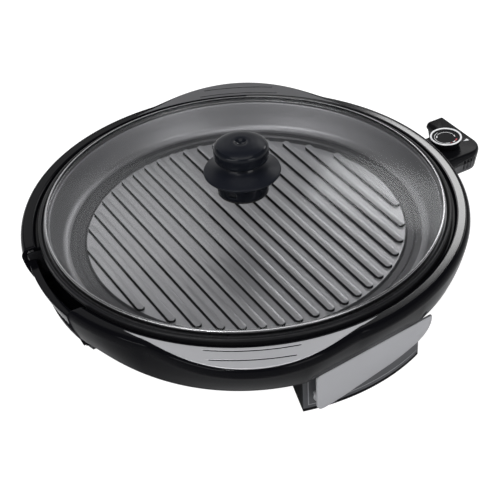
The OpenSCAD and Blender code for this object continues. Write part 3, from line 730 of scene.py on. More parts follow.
@dataclass
class BaseShell(Part):
    """The black shell: ledge, lip, skirt and the swell of the two handles.

    Attributes:
        ledge_r: Inner radius of the ledge that carries the pan.
        lip_r: Radius at which the lip rises from the ledge.
        wall: Thickness of the skirt.
        swell: How far the skirt bulges between the widest line and its foot.
        foot_round: Height of the rounding at its foot.
        shine_r: Radius within which the right side of the lip takes a painted sheen.
        steps: Sections swept round.
        ends: Distances from the notch of the sections over which the wall changes shape.
        end_thick: How much it thickens there, and how much its top draws down.
        plug_window: The thermostat's window, as inner and outer reach, half width, foot and top.
    """

    ledge_r: float = 200.5
    lip_r: float = 209.7
    wall: float = 3.0
    swell: float = 1.0
    foot_round: float = 0.8
    shine_r: float = 219.5
    steps: int = 440
    ends: tuple[float, ...] = (0.0, 0.25, 0.6, 1.0, 1.5, 2.2)
    end_thick: float = 1.2
    plug_window: tuple[float, float, float, float, float] = (205.0, 240.0, 24.0, 30.0, 69.5)

    def skirt_row(self, mix: float, offset: float) -> Row:
        """A row on the skirt, mix of the way down it, moved out by offset."""
        drop = OUTLINE_Z - SKIRT_Z - self.foot_round
        return OUTLINE_Z - mix * drop, 0.0, mix, self.swell * math.sin(math.pi * mix) + offset

    def section(self) -> Array:
        """The wall's section once round, from the ledge over the lip, down the skirt and up inside.

        A point lies at a fixed radius, or else at an offset from the body's outline, which
        passes from the lip's into the skirt's as mix goes from 0 to 1.

        Returns:
            Rows of (height, radius or 0, mix, offset).
        """
        lip = self.lip_r
        ledge = rounded([
            (self.ledge_r, 87.2, 0), (self.ledge_r, LEDGE_Z, 0.5), (lip, LEDGE_Z, 0.9),
            (lip + 1.2, 93.2, 0.8), (lip + 2.5, LIP_Z, 0.9), (lip + 3.3, LIP_Z, 0)])
        rows: list[Row] = [(z, r, 0.0, 0.0) for r, z in ledge]
        edge = [(-8.0, 0.0), (-5.4, 0.02), (-4.2, 0.15), (-3.2, 0.45), (-2.4, 0.95), (-1.7, 1.65),
                (-1.1, 2.5), (-0.65, 3.5), (-0.3, 4.8), (-0.1, 6.3)]
        rows += [(LIP_Z - drop, 0.0, 0.0, off) for off, drop in edge]
        rows += [self.skirt_row(mix, 0.0) for mix in np.linspace(0.0, 1.0, 16)]
        rows += [(SKIRT_Z + 0.25, 0.0, 1.0, -0.2), (SKIRT_Z, 0.0, 1.0, -0.8), (SKIRT_Z, 0.0, 1.0, -2.2),
                 (SKIRT_Z + 0.25, 0.0, 1.0, -2.8)]
        rows += [self.skirt_row(mix, -self.wall) for mix in np.linspace(1.0, 0.0, 8)]
        rows += [(89.0, 0.0, 0.0, -3.8), (90.4, 0.0, 0.0, -6.4), (90.4, 213.4, 0.0, 0.0),
                 (88.6, 212.4, 0.0, 0.0), (87.0, 211.4, 0.0, 0.0), (87.0, self.ledge_r + 0.2, 0.0, 0.0)]
        return np.array(rows)

    @staticmethod
    def radii(section: Array, angle: Array) -> Array:
        """Radius of every section point in every direction.

        Args:
            section: Rows of (height, radius or 0, mix, offset).
            angle: Directions in degrees, one for each section point in each row.

        Returns:
            Radii, of angle's shape.
        """
        low = skirt_outline(angle)
        top = lip_outline(angle)
        free = top * (1 - section[:, 2]) + low * section[:, 2] + section[:, 3]
        return np.where(section[:, 1] > 0, section[:, 1], free)

    def build(self) -> None:
        """Sweeps the section round, cuts the plug's window and paints a sheen on the lip's right side."""
        shell = self.sweep().mesh("shell", 32.0)
        near, far, half_w, foot, top = self.plug_window
        carve(shell, prism(box_plan(near, far, -half_w, half_w), foot, top, PLUG_A))
        piece = self.grill.add(shell, "shell", GLOSS, Body.BASE, ["base_shell"])
        # A painted sheen on the right side of the lip's top.
        self.grill.paint(piece, LIP, self.on_lip)
        self.notch_walls()

    def sweep(self) -> Surface:
        """Carries the section from one side of the tray's notch round to the other.

        Over the last few millimetres the change follows a quarter of a circle.

        Returns:
            The closed wall.
        """
        section = self.section()
        ends = np.array(self.ends)
        r_end = self.radii(section, np.full((1, len(section)), TRAY_A))[0]
        half = np.degrees(np.arcsin((NOTCH_HALF + 0.1) / r_end))
        first, last = TRAY_A + half, TRAY_A + 360.0 - half
        per_mm = math.degrees(1 / NOTCH_R)
        margin = 3.0 * per_mm
        middle = np.linspace(0.0, 1.0, self.steps)[1:-1, None]
        angle = np.array([
            *(first + d * per_mm for d in ends),
            *((first + margin) * (1 - middle) + (last - margin) * middle),
            *(last - d * per_mm for d in ends[::-1]),
        ])
        radius = self.radii(section, angle)
        height = np.tile(section[:, 0], (len(angle), 1))
        along_r = np.roll(radius, -1, 1) - np.roll(radius, 1, 1)
        along_z = np.roll(height, -1, 1) - np.roll(height, 1, 1)
        length = np.hypot(along_r, along_z) + 1e-9
        bend = self.end_thick * (1 - np.sqrt(1 - np.square(1 - ends / ends[-1])))
        change = np.concatenate([bend, np.zeros(len(angle) - 2 * len(ends)), bend[::-1]])[:, None]
        radius = radius - change * along_z / length
        height = height - change * along_r / length
        turned = np.radians(angle)
        made = Surface()
        ids = made.grid(np.stack([radius * np.cos(turned), radius * np.sin(turned), height], -1),
                        wrap_columns=True)
        made.cap(ids[0])
        made.cap(ids[-1], flip=True)
        return made

    def on_lip(self, mid: Vector, normal: Vector) -> bool:
        """Whether a face, in metres, lies on the inner band of the lip's right side, which takes painted
        sheen.
        """
        flat_top = mid.z > (LIP_Z - 0.6) * MM and normal.z > 0.7
        return flat_top and mid.x > 10.0 * MM and mid.xy.length < self.shine_r * MM

    def notch_walls(self) -> None:
        """Closes the tray's notch at both sides, between the cover and the ledge."""
        walls = Surface()
        face = [(193.0, 58.2), (205.5, 58.2), (213.5, 86.9), (193.0, 86.9)]
        for side in (-1.0, 1.0):
            walls.join(slab(face, side * (NOTCH_HALF + 0.2), side * (NOTCH_HALF + 2.4), TRAY_A))
        self.grill.add(walls, "notch_walls", DARK, Body.BASE)


@dataclass
class HandlePanels(Part):
    """Silver crescents in the lip over the two handles, with two grooves each.

    Attributes:
        inner_r: Radius of the inner edge.
        swell: How far the outer edge bulges past the tails.
        bell_a: Half the angle of that bulge.
        half_a: Half the angle that a crescent spans.
        tail: Width of the tails in which it runs out.
        tail_a: Angle over which a tail comes to its width.
        low_z: Height of its underside.
        top_z: Height of its top.
        round_w: Width of the rounding along its edge.
        round_drop: How far that rounding falls.
        grooves: Radius and half angle of each groove.
        groove_w: Half a groove's width at its foot.
        groove_deep: A groove's depth.
    """

    inner_r: float = 213.25
    swell: float = 24.8
    bell_a: float = 27.5
    half_a: float = 32.9
    tail: float = 3.0
    tail_a: float = 5.0
    low_z: float = 92.9
    top_z: float = 94.3
    round_w: float = 0.9
    round_drop: float = 0.7
    grooves: tuple[Point, ...] = ((218.0, 11.6), (230.0, 9.8))
    groove_w: float = 0.55
    groove_deep: float = 0.9

    def build(self) -> None:
        """Builds both panels as height fields over the crescent.

        Each outer edge is a bell over the inner circle, with a tail at each end. The top falls
        away in a round along the edge, and each groove has sloped sides.
        """
        t = np.linspace(-self.half_a, self.half_a, 221)
        inner = self.inner_r
        tails = self.tail * np.minimum(1.0, (self.half_a - np.abs(t)) / self.tail_a)
        outer = inner + self.swell * bell(t / self.bell_a) + tails + 0.3
        share = np.concatenate([[0.0, 0.01, 0.03], np.linspace(0.06, 0.94, 84), [0.97, 0.99, 1.0]])
        radius = inner + np.outer(outer - inner, share)
        edge = np.minimum(radius - inner, outer[:, None] - radius)
        height = self.top_z - self.round_drop * np.square(1 - np.minimum(1.0, edge / self.round_w))
        for groove, reach in self.grooves:
            ends = np.clip((reach - np.abs(t)) / 0.4, 0.0, 1.0)[:, None]
            sides = np.clip(1.6 - np.abs(radius - groove) / self.groove_w, 0.0, 1.0)
            height -= self.groove_deep * ends * sides
        low = np.full_like(height, self.low_z)
        # The rear panel takes the darker copy of the silver: painted shade.
        for name, mid, node, finish in (("front_panel", -90.0, "front_handle_panel", SILVER),
                                        ("rear_panel", 90.0, "rear_handle_panel", SILVER_PAINTED_SHADE)):
            turned = np.radians(mid + t)[:, None]
            across, along = radius * np.cos(turned), radius * np.sin(turned)
            top, under = (np.stack([across, along, z], -1) for z in (height, low))
            made = Surface()
            ids = made.grid(np.concatenate([top, under[:, ::-1]], 1), wrap_columns=True)
            made.cap(ids[0])
            made.cap(ids[-1], flip=True)
            self.grill.add(made, name, finish, Body.BASE, [node], 50.0)


@dataclass
class Pan(Part):
    """The ribbed pan: a turned bowl, its cooking ribs and its dark rim.

    Attributes:
        floor_z: Height of its floor.
        pitch: Distance from rib to rib.
        rib_half: Half a rib's width.
        rib_h: A rib's height.
        field_r: Radius of the circle on which the ribs end.
        groove_r: Inner radius of the drain groove.
        wall_r: Radius at which the wall's painted shade begins.
        top_z: Height of the wall's top.
        under_z: Height of the underside.
        shade_w: Width of the strip of painted shade along a rib's foot.
    """

    floor_z: float = 66.5
    pitch: float = 16.45
    rib_half: float = 3.8
    rib_h: float = 3.0
    field_r: float = 159.0
    groove_r: float = 161.6
    wall_r: float = 178.1
    top_z: float = 94.8
    under_z: float = 62.1
    shade_w: float = 1.1

    def build(self) -> None:
        """Builds the bowl, the rim and the ribs."""
        z, top, groove = self.floor_z, self.top_z, self.groove_r
        inside = rounded([
            (0.0, z, 0), (groove, z, 0.8), (groove + 1.8, z - 1.7, 0.8), (groove + 8.4, z - 1.7, 0.8),
            (groove + 10.0, z + 0.3, 0.8), (180.2, z + 0.3, 2.2), (185.0, z + 2.9, 3.0), (190.4, 82.0, 4.0),
            (193.9, 92.0, 2.0), (195.0, top, 0.9), (200.8, top, 0)])
        low = self.under_z
        under = [(198.4, 90.3), (196.0, 86.0), (189.5, 74.0), (184.5, low + 1.6), (180.0, low), (0.0, low)]
        bowl = revolve(inside + under, 256, closed=False)
        piece = self.grill.add(bowl, "pan_bowl", COAT, Body.PAN, ["grill_pan"], 50.0)
        # The wall takes a darker copy of the coat: painted shade.
        self.grill.paint(piece, WALL_PAINTED_SHADE, self.on_wall)
        # Painted shade in and beside the drain groove.
        self.grill.paint(piece, GROOVE_PAINTED_SHADE, self.in_groove_shade)
        rim = rounded([
            (200.85, top, 0.1), (201.6, top, 0.5), (202.9, top + 1.7, 0.8), (204.4, top + 2.1, 0.9),
            (206.0, top + 1.5, 0.8), (206.8, top - 0.4, 0.6), (206.6, 90.3, 0.4), (198.45, 90.3, 0.1)],
            closed=True)
        self.grill.add(revolve(rim, 256), "pan_rim", RIM, Body.PAN, sharp=50.0)
        ribs = self.grill.add(self.ribs(), "pan_ribs", COAT, Body.PAN, sharp=35.0)
        # The ribs' steep sides take painted shade.
        self.grill.paint(ribs, RIB_PAINTED_SHADE, lambda mid, normal: normal.z < 0.55)
        self.grill.add(self.rib_feet(), "pan_rib_painted_shade", RIB_PAINTED_SHADE, Body.PAN)

    def on_wall(self, mid: Vector, normal: Vector) -> bool:
        """Whether a face, in metres, lies on the inner side of the wall, which takes painted shade."""
        return mid.xy.length > self.wall_r * MM and mid.z > (self.floor_z - 2.5) * MM and normal.z > 0.0

    def in_groove_shade(self, mid: Vector, normal: Vector) -> bool:
        """Whether a face, in metres, lies in the drain groove or beside it, where its shade is painted."""
        near, far = (self.groove_r - 0.9) * MM, self.wall_r * MM
        return near < mid.xy.length < far and mid.z > (self.floor_z - 2.5) * MM

    def rib_places(self) -> Iterator[Point]:
        """Where the ribs stand: side by side, each as long as the field's circle is there.

        Returns:
            Each rib's sideways place, with half the length of its straight part.
        """
        count = int((self.field_r - 10.0) / self.pitch)
        for k in range(-count, count + 1):
            u = k * self.pitch
            yield u, math.sqrt(self.field_r**2 - u * u) - self.rib_half

    def rib_feet(self) -> Surface:
        """A thin strip of painted shade along the foot of each rib.

        Returns:
            All strips in one surface.
        """
        made = Surface()
        for u, half in self.rib_places():
            near = u - self.rib_half
            strip = box_plan(near - self.shade_w, near + 0.3, -half, half)
            made.join(prism(strip, self.floor_z - 0.2, self.floor_z + 0.06, PLUG_A))
        return made

    def ribs(self) -> Surface:
        """The parallel ribs: steep sides, a flat top with a small round, and ends on a circle.

        Returns:
            All ribs in one surface.
        """
        made = Surface()
        top = self.rib_h
        steps = [(-0.1, -0.2), (top - 0.5, 0.25), (top - 0.15, 0.5), (top, 1.0)]
        round_end = np.radians(np.linspace(0.0, 180.0, 9))
        for u, half in self.rib_places():
            loops = []
            for lift, inset in steps:
                w = self.rib_half - inset
                far = np.stack([u + w * np.cos(round_end), half + w * np.sin(round_end)], 1)
                near = np.stack([u - w * np.cos(round_end), -half - w * np.sin(round_end)], 1)
                flat = np.vstack([far, near])
                loops.append(turn(np.column_stack([flat, np.full(len(flat), self.floor_z + lift)]), PLUG_A))
            made.join(loft(loops))
        return made


@dataclass
class Lid(Part):
    """The glass dome and the thin steel band round it.

    Attributes:
        dome_r: Radius of the glass.
        rise: Height of the dome over its edge.
        glass_t: Thickness of the glass.
        band_r: Outer radius of the band.
        band_z: Height of its foot.
        fold: Width of the band's folds over and under the glass.
    """

    dome_r: float = 198.0
    rise: float = 14.0
    glass_t: float = 4.0
    band_r: float = 200.0
    band_z: float = 95.1
    fold: float = 2.3

    def build(self) -> None:
        """Turns the dome and the band."""
        curve = self.dome_r**2 / (2 * self.rise)
        r = np.linspace(4.6, self.dome_r - 1.0, 60)
        top = [(x, CROWN_Z - x * x / (2 * curve)) for x in r]
        under = [(x, z - self.glass_t) for x, z in reversed(top)]
        low = CROWN_Z - self.rise - self.glass_t
        out = self.dome_r
        edge = [(out - 0.3, low + 3.4), (out, low + 2.6), (out, low + 1.3), (out - 0.4, low + 0.5)]
        glass = revolve(top + edge + under, 256).mesh("lid_dome", 50.0)
        self.grill.add(glass, "lid_dome", GLASS, Body.LID, ["lid_glass"])
        rim, z, fold = self.band_r, self.band_z, self.band_r - self.fold
        band = rounded([
            (fold, z + 5.75, 0.1), (rim - 1.5, z + 5.7, 0.5), (rim - 0.35, z + 5.2, 0.6),
            (rim, z + 3.7, 0.6), (rim, z + 0.5, 0.4), (rim - 0.5, z, 0.3), (fold, z, 0.2),
            (fold, z + 0.6, 0.2), (rim - 1.85, z + 0.6, 0.2), (rim - 1.85, z + 4.9, 0.2),
            (fold, z + 5.35, 0.1)], closed=True, steps=3)
        ring = self.grill.add(revolve(band, 320), "lid_band_piece", BAND, Body.LID, ["lid_band"], 50.0)
        # The band's side and lower faces take painted shade.
        self.grill.paint(ring, BAND_PAINTED_SHADE, lambda mid, normal: normal.z < 0.6)


@dataclass
class Knob(Part):
    """The lid's knob: collar with a vent slot, heat guard and grip.

    Attributes:
        collar_r: Radius of the collar.
        guard_r: Radius of the heat guard.
        cap_r: Radius of the grip.
        neck_r: Radius of the neck between guard and grip.
        dimple_r: Radius of the dimple in the grip's top.
        collar_z: Height of the collar's foot.
        guard_z: Height of the guard's underside.
        grip_z: Height of the grip's foot.
        slot_a: Direction of the vent slot.
        slot_z: Height of its foot and of its top.
    """

    collar_r: float = 25.8
    guard_r: float = 38.6
    cap_r: float = 27.4
    neck_r: float = 20.0
    dimple_r: float = 6.2
    collar_z: float = CROWN_Z + 1.6
    guard_z: float = CROWN_Z + 19.6
    grip_z: float = CROWN_Z + 36.2
    slot_a: float = -115.0
    slot_z: Point = (CROWN_Z + 5.7, CROWN_Z + 7.4)

    def build(self) -> None:
        """Turns the three mouldings."""
        self.collar()
        g, r = self.guard_z, self.guard_r
        guard = rounded([
            (4.2, g, 0), (26.5, g, 0.6), (r - 2.4, g + 0.9, 1.4), (r, g + 3.0, 1.3), (r - 0.7, g + 4.7, 1.3),
            (r - 5.5, g + 6.4, 3.0), (r - 12.0, g + 9.2, 4.0), (self.neck_r + 1.8, g + 13.0, 2.5),
            (self.neck_r, g + 16.4, 0), (4.2, g + 16.4, 0)], closed=True, steps=8)
        piece = self.grill.add(revolve(guard, 192), "guard", KNOB, Body.LID, ["knob_guard"], 50.0)
        self.grill.paint(piece, KNOB_TOP, lambda mid, normal: 0.55 < normal.z < 0.97)
        c, r = self.grip_z, self.cap_r
        cap = rounded([
            (0.0, c + 0.1, 0), (self.neck_r, c + 0.1, 0.4), (self.neck_r + 1.2, c + 1.5, 0.7),
            (r - 1.7, c + 2.1, 0.8), (r - 0.1, c + 3.6, 1.2), (r, c + 8.0, 2.0), (r - 0.1, c + 13.6, 2.0),
            (r - 1.3, c + 16.0, 1.7), (r - 5.0, c + 17.9, 2.5), (r - 9.5, c + 19.3, 3.0),
            (self.dimple_r + 2.5, c + 20.3, 2.0), (self.dimple_r - 0.4, c + 19.8, 1.0),
            (self.dimple_r - 2.6, c + 17.9, 1.6), (0.0, c + 17.5, 0)], steps=8)
        piece = self.grill.add(revolve(cap, 192, closed=False), "cap", KNOB, Body.LID, ["knob_cap"], 60.0)
        self.grill.paint(piece, KNOB_TOP, self.on_top)

    def on_top(self, mid: Vector, normal: Vector) -> bool:
        """Whether a face, in metres, lies on the grip's satin top, outside its dimple."""
        return normal.z > 0.9 and mid.xy.length > self.dimple_r * MM and mid.z > (self.grip_z + 10.0) * MM

    def collar(self) -> None:
        """Turns the collar and cuts its vent slot."""
        z, r, top = self.collar_z, self.collar_r, self.guard_z - 0.1
        outline = rounded([(5.0, z, 0), (r - 0.3, z, 0.5), (r, z + 3.0, 1.5), (r - 0.3, top - 3.0, 1.5),
                           (r - 1.8, top, 0.6), (5.0, top, 0)], closed=True)
        collar = revolve(outline, 160).mesh("collar", 50.0)
        carve(collar, prism(box_plan(r - 6.0, r + 4.0, -4.0, 4.0), *self.slot_z, self.slot_a))
        self.grill.add(collar, "collar", KNOB, Body.LID, ["knob_collar"], 50.0)


@dataclass
class Tray(Part):
    """The fat tray: a low box under the base with a tall curved front.

    Attributes:
        half: Half of its width.
        floor: Height of its underside.
        wall: Its thickness.
        back_u: Distance of its back from the middle.
        front_u: Distance of the front end of the box's outline.
        front_r: Radius of the front wall at its bend.
        bend_z: Height of that bend.
        low_z: Height of the low box.
        top_z: Height of the front.
        end_a: Angle over which the front's ends round off.
        end_share: Share by which they shrink there.
    """

    half: float = 53.0
    floor: float = 43.6
    wall: float = 2.4
    back_u: float = 150.0
    front_u: float = 203.9
    front_r: float = 213.0
    bend_z: float = 60.0
    low_z: float = 59.8
    top_z: float = 80.0
    end_a: float = 0.5
    end_share: float = 0.01

    def build(self) -> None:
        """Builds the front as a bent wall, the low box and its cheeks."""
        self.front()
        self.box()
        self.cheeks()

    def front(self) -> None:
        """Carries the front's section along its arc, a little smaller at both ends."""
        floor, top, r, bend = self.floor, self.top_z, self.front_r, self.bend_z
        section = np.array(rounded([
            (r - 6.8, floor, 0.8), (r, bend, 0), (r + 6.6, top - 2.6, 1.5), (r + 6.9, top - 0.6, 0.6),
            (r + 6.3, top, 0.5), (r - 0.4, top, 0.5), (r - 1.1, top - 0.8, 0.5), (r - 1.1, top - 2.4, 0.4),
            (r + 3.2, top - 2.8, 1.2), (r - 2.6, bend, 0), (r - 8.4, floor + self.wall, 1.0),
            (r - 9.4, floor, 0)], closed=True, steps=4))
        middle = section.mean(0)
        span = math.degrees(math.asin(self.half / r))
        loops = []
        for at in np.linspace(-span, span, 61):
            short = 1 - min(1.0, (span - abs(at)) / self.end_a)
            shrink = self.end_share * (1 - math.sqrt(1 - short * short))
            radius, z = (middle + (section - middle) * (1 - shrink)).T
            loops.append(turn(np.column_stack([radius, np.zeros(len(z)), z]), TRAY_A + at))
        self.grill.add(loft(loops), "tray_front", GLOSS, Body.TRAY, sharp=35.0)

    def outline(self, inset: float, r: float) -> Array:
        """The low box's plan.

        Args:
            inset: How far it is drawn in.
            r: Rounding of the two corners at its back.

        Returns:
            Points, count by 2.
        """
        back, side = self.back_u + inset, self.half - inset
        path = [(back, -side, r), (self.front_u, -side, 0), (self.front_u, side, 0), (back, side, r)]
        return np.array(rounded(path, closed=True, steps=6))

    def box(self) -> None:
        """Builds the low box with rounded inner corners."""
        floor, wall, low = self.floor, self.wall, self.low_z
        levels = [(0.8, floor, 6.0), (0.0, floor + 0.8, 6.0), (0.0, low - 0.5, 6.0), (0.5, low, 6.0),
                  (wall - 0.5, low, 4.0), (wall, low - 0.5, 4.0), (wall, floor + wall + 2.0, 4.0),
                  (wall + 2.0, floor + wall, 3.0)]
        loops = []
        for inset, z, r in levels:
            flat = self.outline(inset, r)
            loops.append(turn(np.column_stack([flat, np.full(len(flat), z)]), TRAY_A))
        self.grill.add(loft(loops), "tray_box", GLOSS, Body.TRAY, ["drip_tray"], 35.0)

    def cheeks(self) -> None:
        """Builds the two tall cheeks behind the front."""
        made = Surface()
        face = [(203.0, 46.0), (206.6, 46.0), (217.2, 79.6), (204.2, 79.6)]
        for side in (-1.0, 1.0):
            made.join(slab(face, side * (self.half - self.wall), side * (self.half - 0.05), TRAY_A))
        self.grill.add(made, "tray_cheeks", GLOSS, Body.TRAY, sharp=30.0)


@dataclass
class Thermostat(Part):
    """The plug-in thermostat's housing, with an arm at its outer side for the supply's inlet.

    Attributes:
        near_u: Distance of its inner side from the middle.
        far_u: Distance of its outer side.
        arm_u: Distance of the arm's inner side.
        front_v: Sideways place of its front end.
        back_v: Sideways place of the body's back end.
        arm_v: Sideways place of the arm's end.
        foot_z: Height of its underside.
        seam_z: Height of the seam between its halves.
        top_z: Height of its top.
        vents: Inner side of each vent in its front end.
        vent_w: A vent's width.
        pointer: The pointer's plan.
    """

    near_u: float = 229.0
    far_u: float = 285.3
    arm_u: float = 263.5
    front_v: float = -29.6
    back_v: float = 23.2
    arm_v: float = 48.2
    foot_z: float = 48.0
    seam_z: float = 60.0
    top_z: float = 72.0
    vents: tuple[float, ...] = (256.5, 261.0, 265.5, 270.0)
    vent_w: float = 1.6
    pointer: tuple[Point, ...] = ((272.5, -6.0), (278.7, -8.1), (278.7, -4.0))

    def corners(self) -> Iterator[tuple[float, float, float, float, float]]:
        """The corners of its plan, anticlockwise.

        Returns:
            Each as (u, v, radius, first angle, last angle).
        """
        yield self.near_u + 8.0, self.front_v + 8.0, 8.0, 180.0, 270.0
        yield self.far_u - 20.0, self.front_v + 20.0, 20.0, 270.0, 360.0
        yield self.far_u - 3.0, self.arm_v - 3.0, 3.0, 0.0, 90.0
        yield self.arm_u + 3.0, self.arm_v - 3.0, 3.0, 90.0, 180.0
        yield self.arm_u - 6.0, self.back_v + 6.0, 6.0, 0.0, -90.0
        yield self.near_u + 3.0, self.back_v - 3.0, 3.0, 90.0, 180.0

    def plan(self, inset: float) -> Array:
        """The housing's outline drawn in by inset, with a fixed count of points.

        Args:
            inset: Distance inside the outer outline.

        Returns:
            Points in the thermostat's own frame, count by 2.
        """
        out = []
        for u, v, r, first, last in self.corners():
            bend = np.radians(np.linspace(first, last, 13))
            reach = max(0.3, r - inset) if last > first else r + inset
            out.append(np.stack([u + reach * np.cos(bend), v + reach * np.sin(bend)], 1))
        return np.vstack(out)

    def level(self, inset: float, z: float) -> Array:
        """One loop of the housing at height z, in the row frame."""
        flat = self.plan(inset)
        return turn(np.column_stack([flat, np.full(len(flat), z)]), PLUG_A)

    def build(self) -> None:
        """Lofts the two halves, cuts the vents and lays the pointer on top."""
        foot, seam, top = self.foot_z, self.seam_z, self.top_z
        upper = [(3.4, seam + 0.2), (1.3, seam + 0.2), (1.1, seam + 0.5), (0.0, top - 4.4),
                 (0.15, top - 3.0), (0.6, top - 1.6), (1.4, top - 0.5), (2.2, top - 0.1), (3.0, top)]
        lower = [(5.0, foot), (3.9, foot + 0.3), (3.1, foot + 1.1), (2.9, foot + 2.4), (1.4, seam - 0.6),
                 (1.7, seam - 0.3), (3.4, seam - 0.3)]
        for levels, name, finish, node in ((upper, "housing_top", CASE, "thermostat_top"),
                                           (lower, "housing_bottom", CASE_SIDE, "thermostat_bottom")):
            half = loft([self.level(*x) for x in levels]).mesh(name, 45.0)
            self.cut_vents(half)
            self.grill.add(half, name, finish, Body.THERMOSTAT, [node], 45.0)
        mark = prism(np.array(self.pointer), top - 0.05, top + 0.3, PLUG_A)
        self.grill.add(mark, "pointer", WHITE, Body.THERMOSTAT, ["dial_pointer"])

    def cut_vents(self, half: bpy.types.Object) -> None:
        """Cuts the upright vents, which cross the seam.

        Args:
            half: The half of the housing that is cut.
        """
        for u in self.vents:
            slit = box_plan(u, u + self.vent_w, self.front_v - 3.0, self.front_v + 4.6)
            carve(half, prism(slit, self.foot_z + 4.5, self.seam_z + 5.0, PLUG_A))


@dataclass
class Dial(Part):
    """The temperature dial with its white ring and printed scale.

    Attributes:
        at_u: Distance of its axis from the middle.
        radius: Its radius at the white ring.
        foot_z: Height of its foot.
        height: Its height up to the ring.
    """

    at_u: float = 253.0
    radius: float = 17.4
    foot_z: float = 72.6
    height: float = 9.2

    def build(self) -> None:
        """Turns the dial and lays thin arcs of print on it."""
        z, r, h = self.foot_z, self.radius, self.height
        knob = rounded([
            (0.0, z + 0.1, 0), (r - 3.6, z + 0.1, 0.5), (r - 3.0, z + 0.8, 0.5), (r - 0.7, z + 5.5, 3.0),
            (r - 0.1, z + h, 0.4), (r - 2.5, z + h + 0.1, 0.4), (r - 2.8, z + h - 0.5, 0.3),
            (0.0, z + h - 0.5, 0)])
        self.place(revolve(knob, 128, closed=False), "dial_grip", DIAL, ["dial_knob"])
        ring = rounded([(r - 2.3, z + h, 0.2), (r - 0.15, z + h, 0.2), (r - 0.4, z + h + 0.8, 0.3),
                        (r - 2.0, z + h + 0.8, 0.3)], closed=True, steps=3)
        self.place(revolve(ring, 128), "dial_ring_piece", WHITE, ["dial_ring"])
        white = [(0.70, 0.22, 128.0, 262.0), (0.56, 0.24, 30.0, 150.0), (0.56, 0.55, 160.0, 183.0),
                 (0.56, 0.5, 2.0, 22.0), (0.68, 0.45, 262.0, 284.0), (0.68, 0.6, 302.0, 318.0)]
        red = [(0.68, 0.7, 321.0, 341.0), (0.68, 0.35, 288.0, 297.0)]
        self.place(self.print_arcs(white), "dial_print", WHITE)
        self.place(self.print_arcs(red), "dial_hot_print", RED)

    def print_arcs(self, arcs: Sequence[tuple[float, float, float, float]]) -> Surface:
        """Thin raised arcs on the dial's face.

        Args:
            arcs: Each as (share of the radius, half width, first angle, last angle).

        Returns:
            All arcs in one surface.
        """
        low = self.foot_z + self.height - 0.5
        made = Surface()
        for share, half, first, last in arcs:
            r = share * self.radius
            section = [(r - half, low), (r + half, low), (r + half, low + 0.08), (r - half, low + 0.08)]
            made.join(revolve(section, 24, first, last - first))
        return made

    def place(self, surface: Surface, name: str, finish: Finish, nodes: Sequence[str] = ()) -> None:
        """Moves a surface from the axis to the dial's place and adds it."""
        mid = turn(np.array([self.at_u, 0.0, 0.0]), PLUG_A)
        self.grill.add(surface.moved(mid), name, finish, Body.DIAL, nodes, 45.0)


def end_frame(points: Array, rear: bool) -> Array:
    """Moves points from a tilt foot's frame to the row frame, mirrored for the rear one.

    Args:
        points: x out of the foot's face, y towards its tip, z up.
        rear: Whether it is the rear end.

    Returns:
        The moved points.
    """
    if rear:
        return turn(points * np.array([1.0, -1.0, 1.0]), CHEEK_A + 180.0)
    return turn(points, CHEEK_A)


@dataclass
class Legs(Part):
    """Two hollow legs, each a bent box with a fine inset line on its face.

    Attributes:
        half_a: Half the angle that a leg spans.
        inner_r: Radius of its inner side.
        outer_r: Radius of its face.
        foot_z: Height of its underside.
        top_z: Height of its top.
        strip_z: Height up to which the foot of the face takes painted shade.
        line_z: Height of the inset line along the foot.
        line_w: That line's width.
    """

    half_a: float = 18.9
    inner_r: float = 160.0
    outer_r: float = 207.5
    foot_z: float = 1.0
    top_z: float = 57.8
    strip_z: float = 5.0
    line_z: float = 8.4
    line_w: float = 0.9

    def build(self) -> None:
        """Builds both legs with their inset lines."""
        for rear, name in ((False, "front_leg"), (True, "rear_leg")):
            shift = LEG_A - CHEEK_A
            section = rounded([(self.inner_r, self.top_z, 0), (self.inner_r, self.foot_z, 1.5),
                               (self.outer_r, self.foot_z, 1.2), (self.outer_r, self.strip_z, 0),
                               (self.outer_r, self.top_z, 0)], closed=True)
            skin = revolve(section, 48, shift - self.half_a, 2 * self.half_a)
            skin.points = [end_frame(p, rear) for p in skin.points]
            piece = self.grill.add(skin, name + "_skin", LEG, Body.BASE, [name], 35.0)
            # Painted shade on the end walls, the inner side and the foot strip.
            self.grill.paint(piece, LEG_PAINTED_SHADE, self.in_shade)
            line = self.lines(shift)
            line.points = [end_frame(p, rear) for p in line.points]
            self.grill.add(line, name + "_line", LEG_LINE, Body.BASE)

    def in_shade(self, mid: Vector, normal: Vector) -> bool:
        """Whether a face is on an end wall, the inner side or the strip along the foot, which take painted
        shade.
        """
        outward = Vector((mid.x, mid.y, 0.0)).normalized()
        return mid.z < self.strip_z * MM or (abs(normal.z) < 0.5 and normal.dot(outward) < 0.6)

    def lines(self, shift: float) -> Surface:
        """The fine lines along the foot and one end of the face.

        Args:
            shift: Direction of the leg's middle from the tilt foot's.

        Returns:
            Both lines in one surface.
        """
        made = Surface()
        r, low, start = self.outer_r, self.line_z, -self.half_a + 1.3
        runs = ((low + self.line_w, start, self.half_a - 0.8), (self.top_z - 1.8, start, start + 0.28))
        for high, first, last in runs:
            section = [(r - 0.3, low), (r + 0.08, low), (r + 0.08, high), (r - 0.3, high)]
            made.join(revolve(section, 40, shift + first, last - first))
        return made


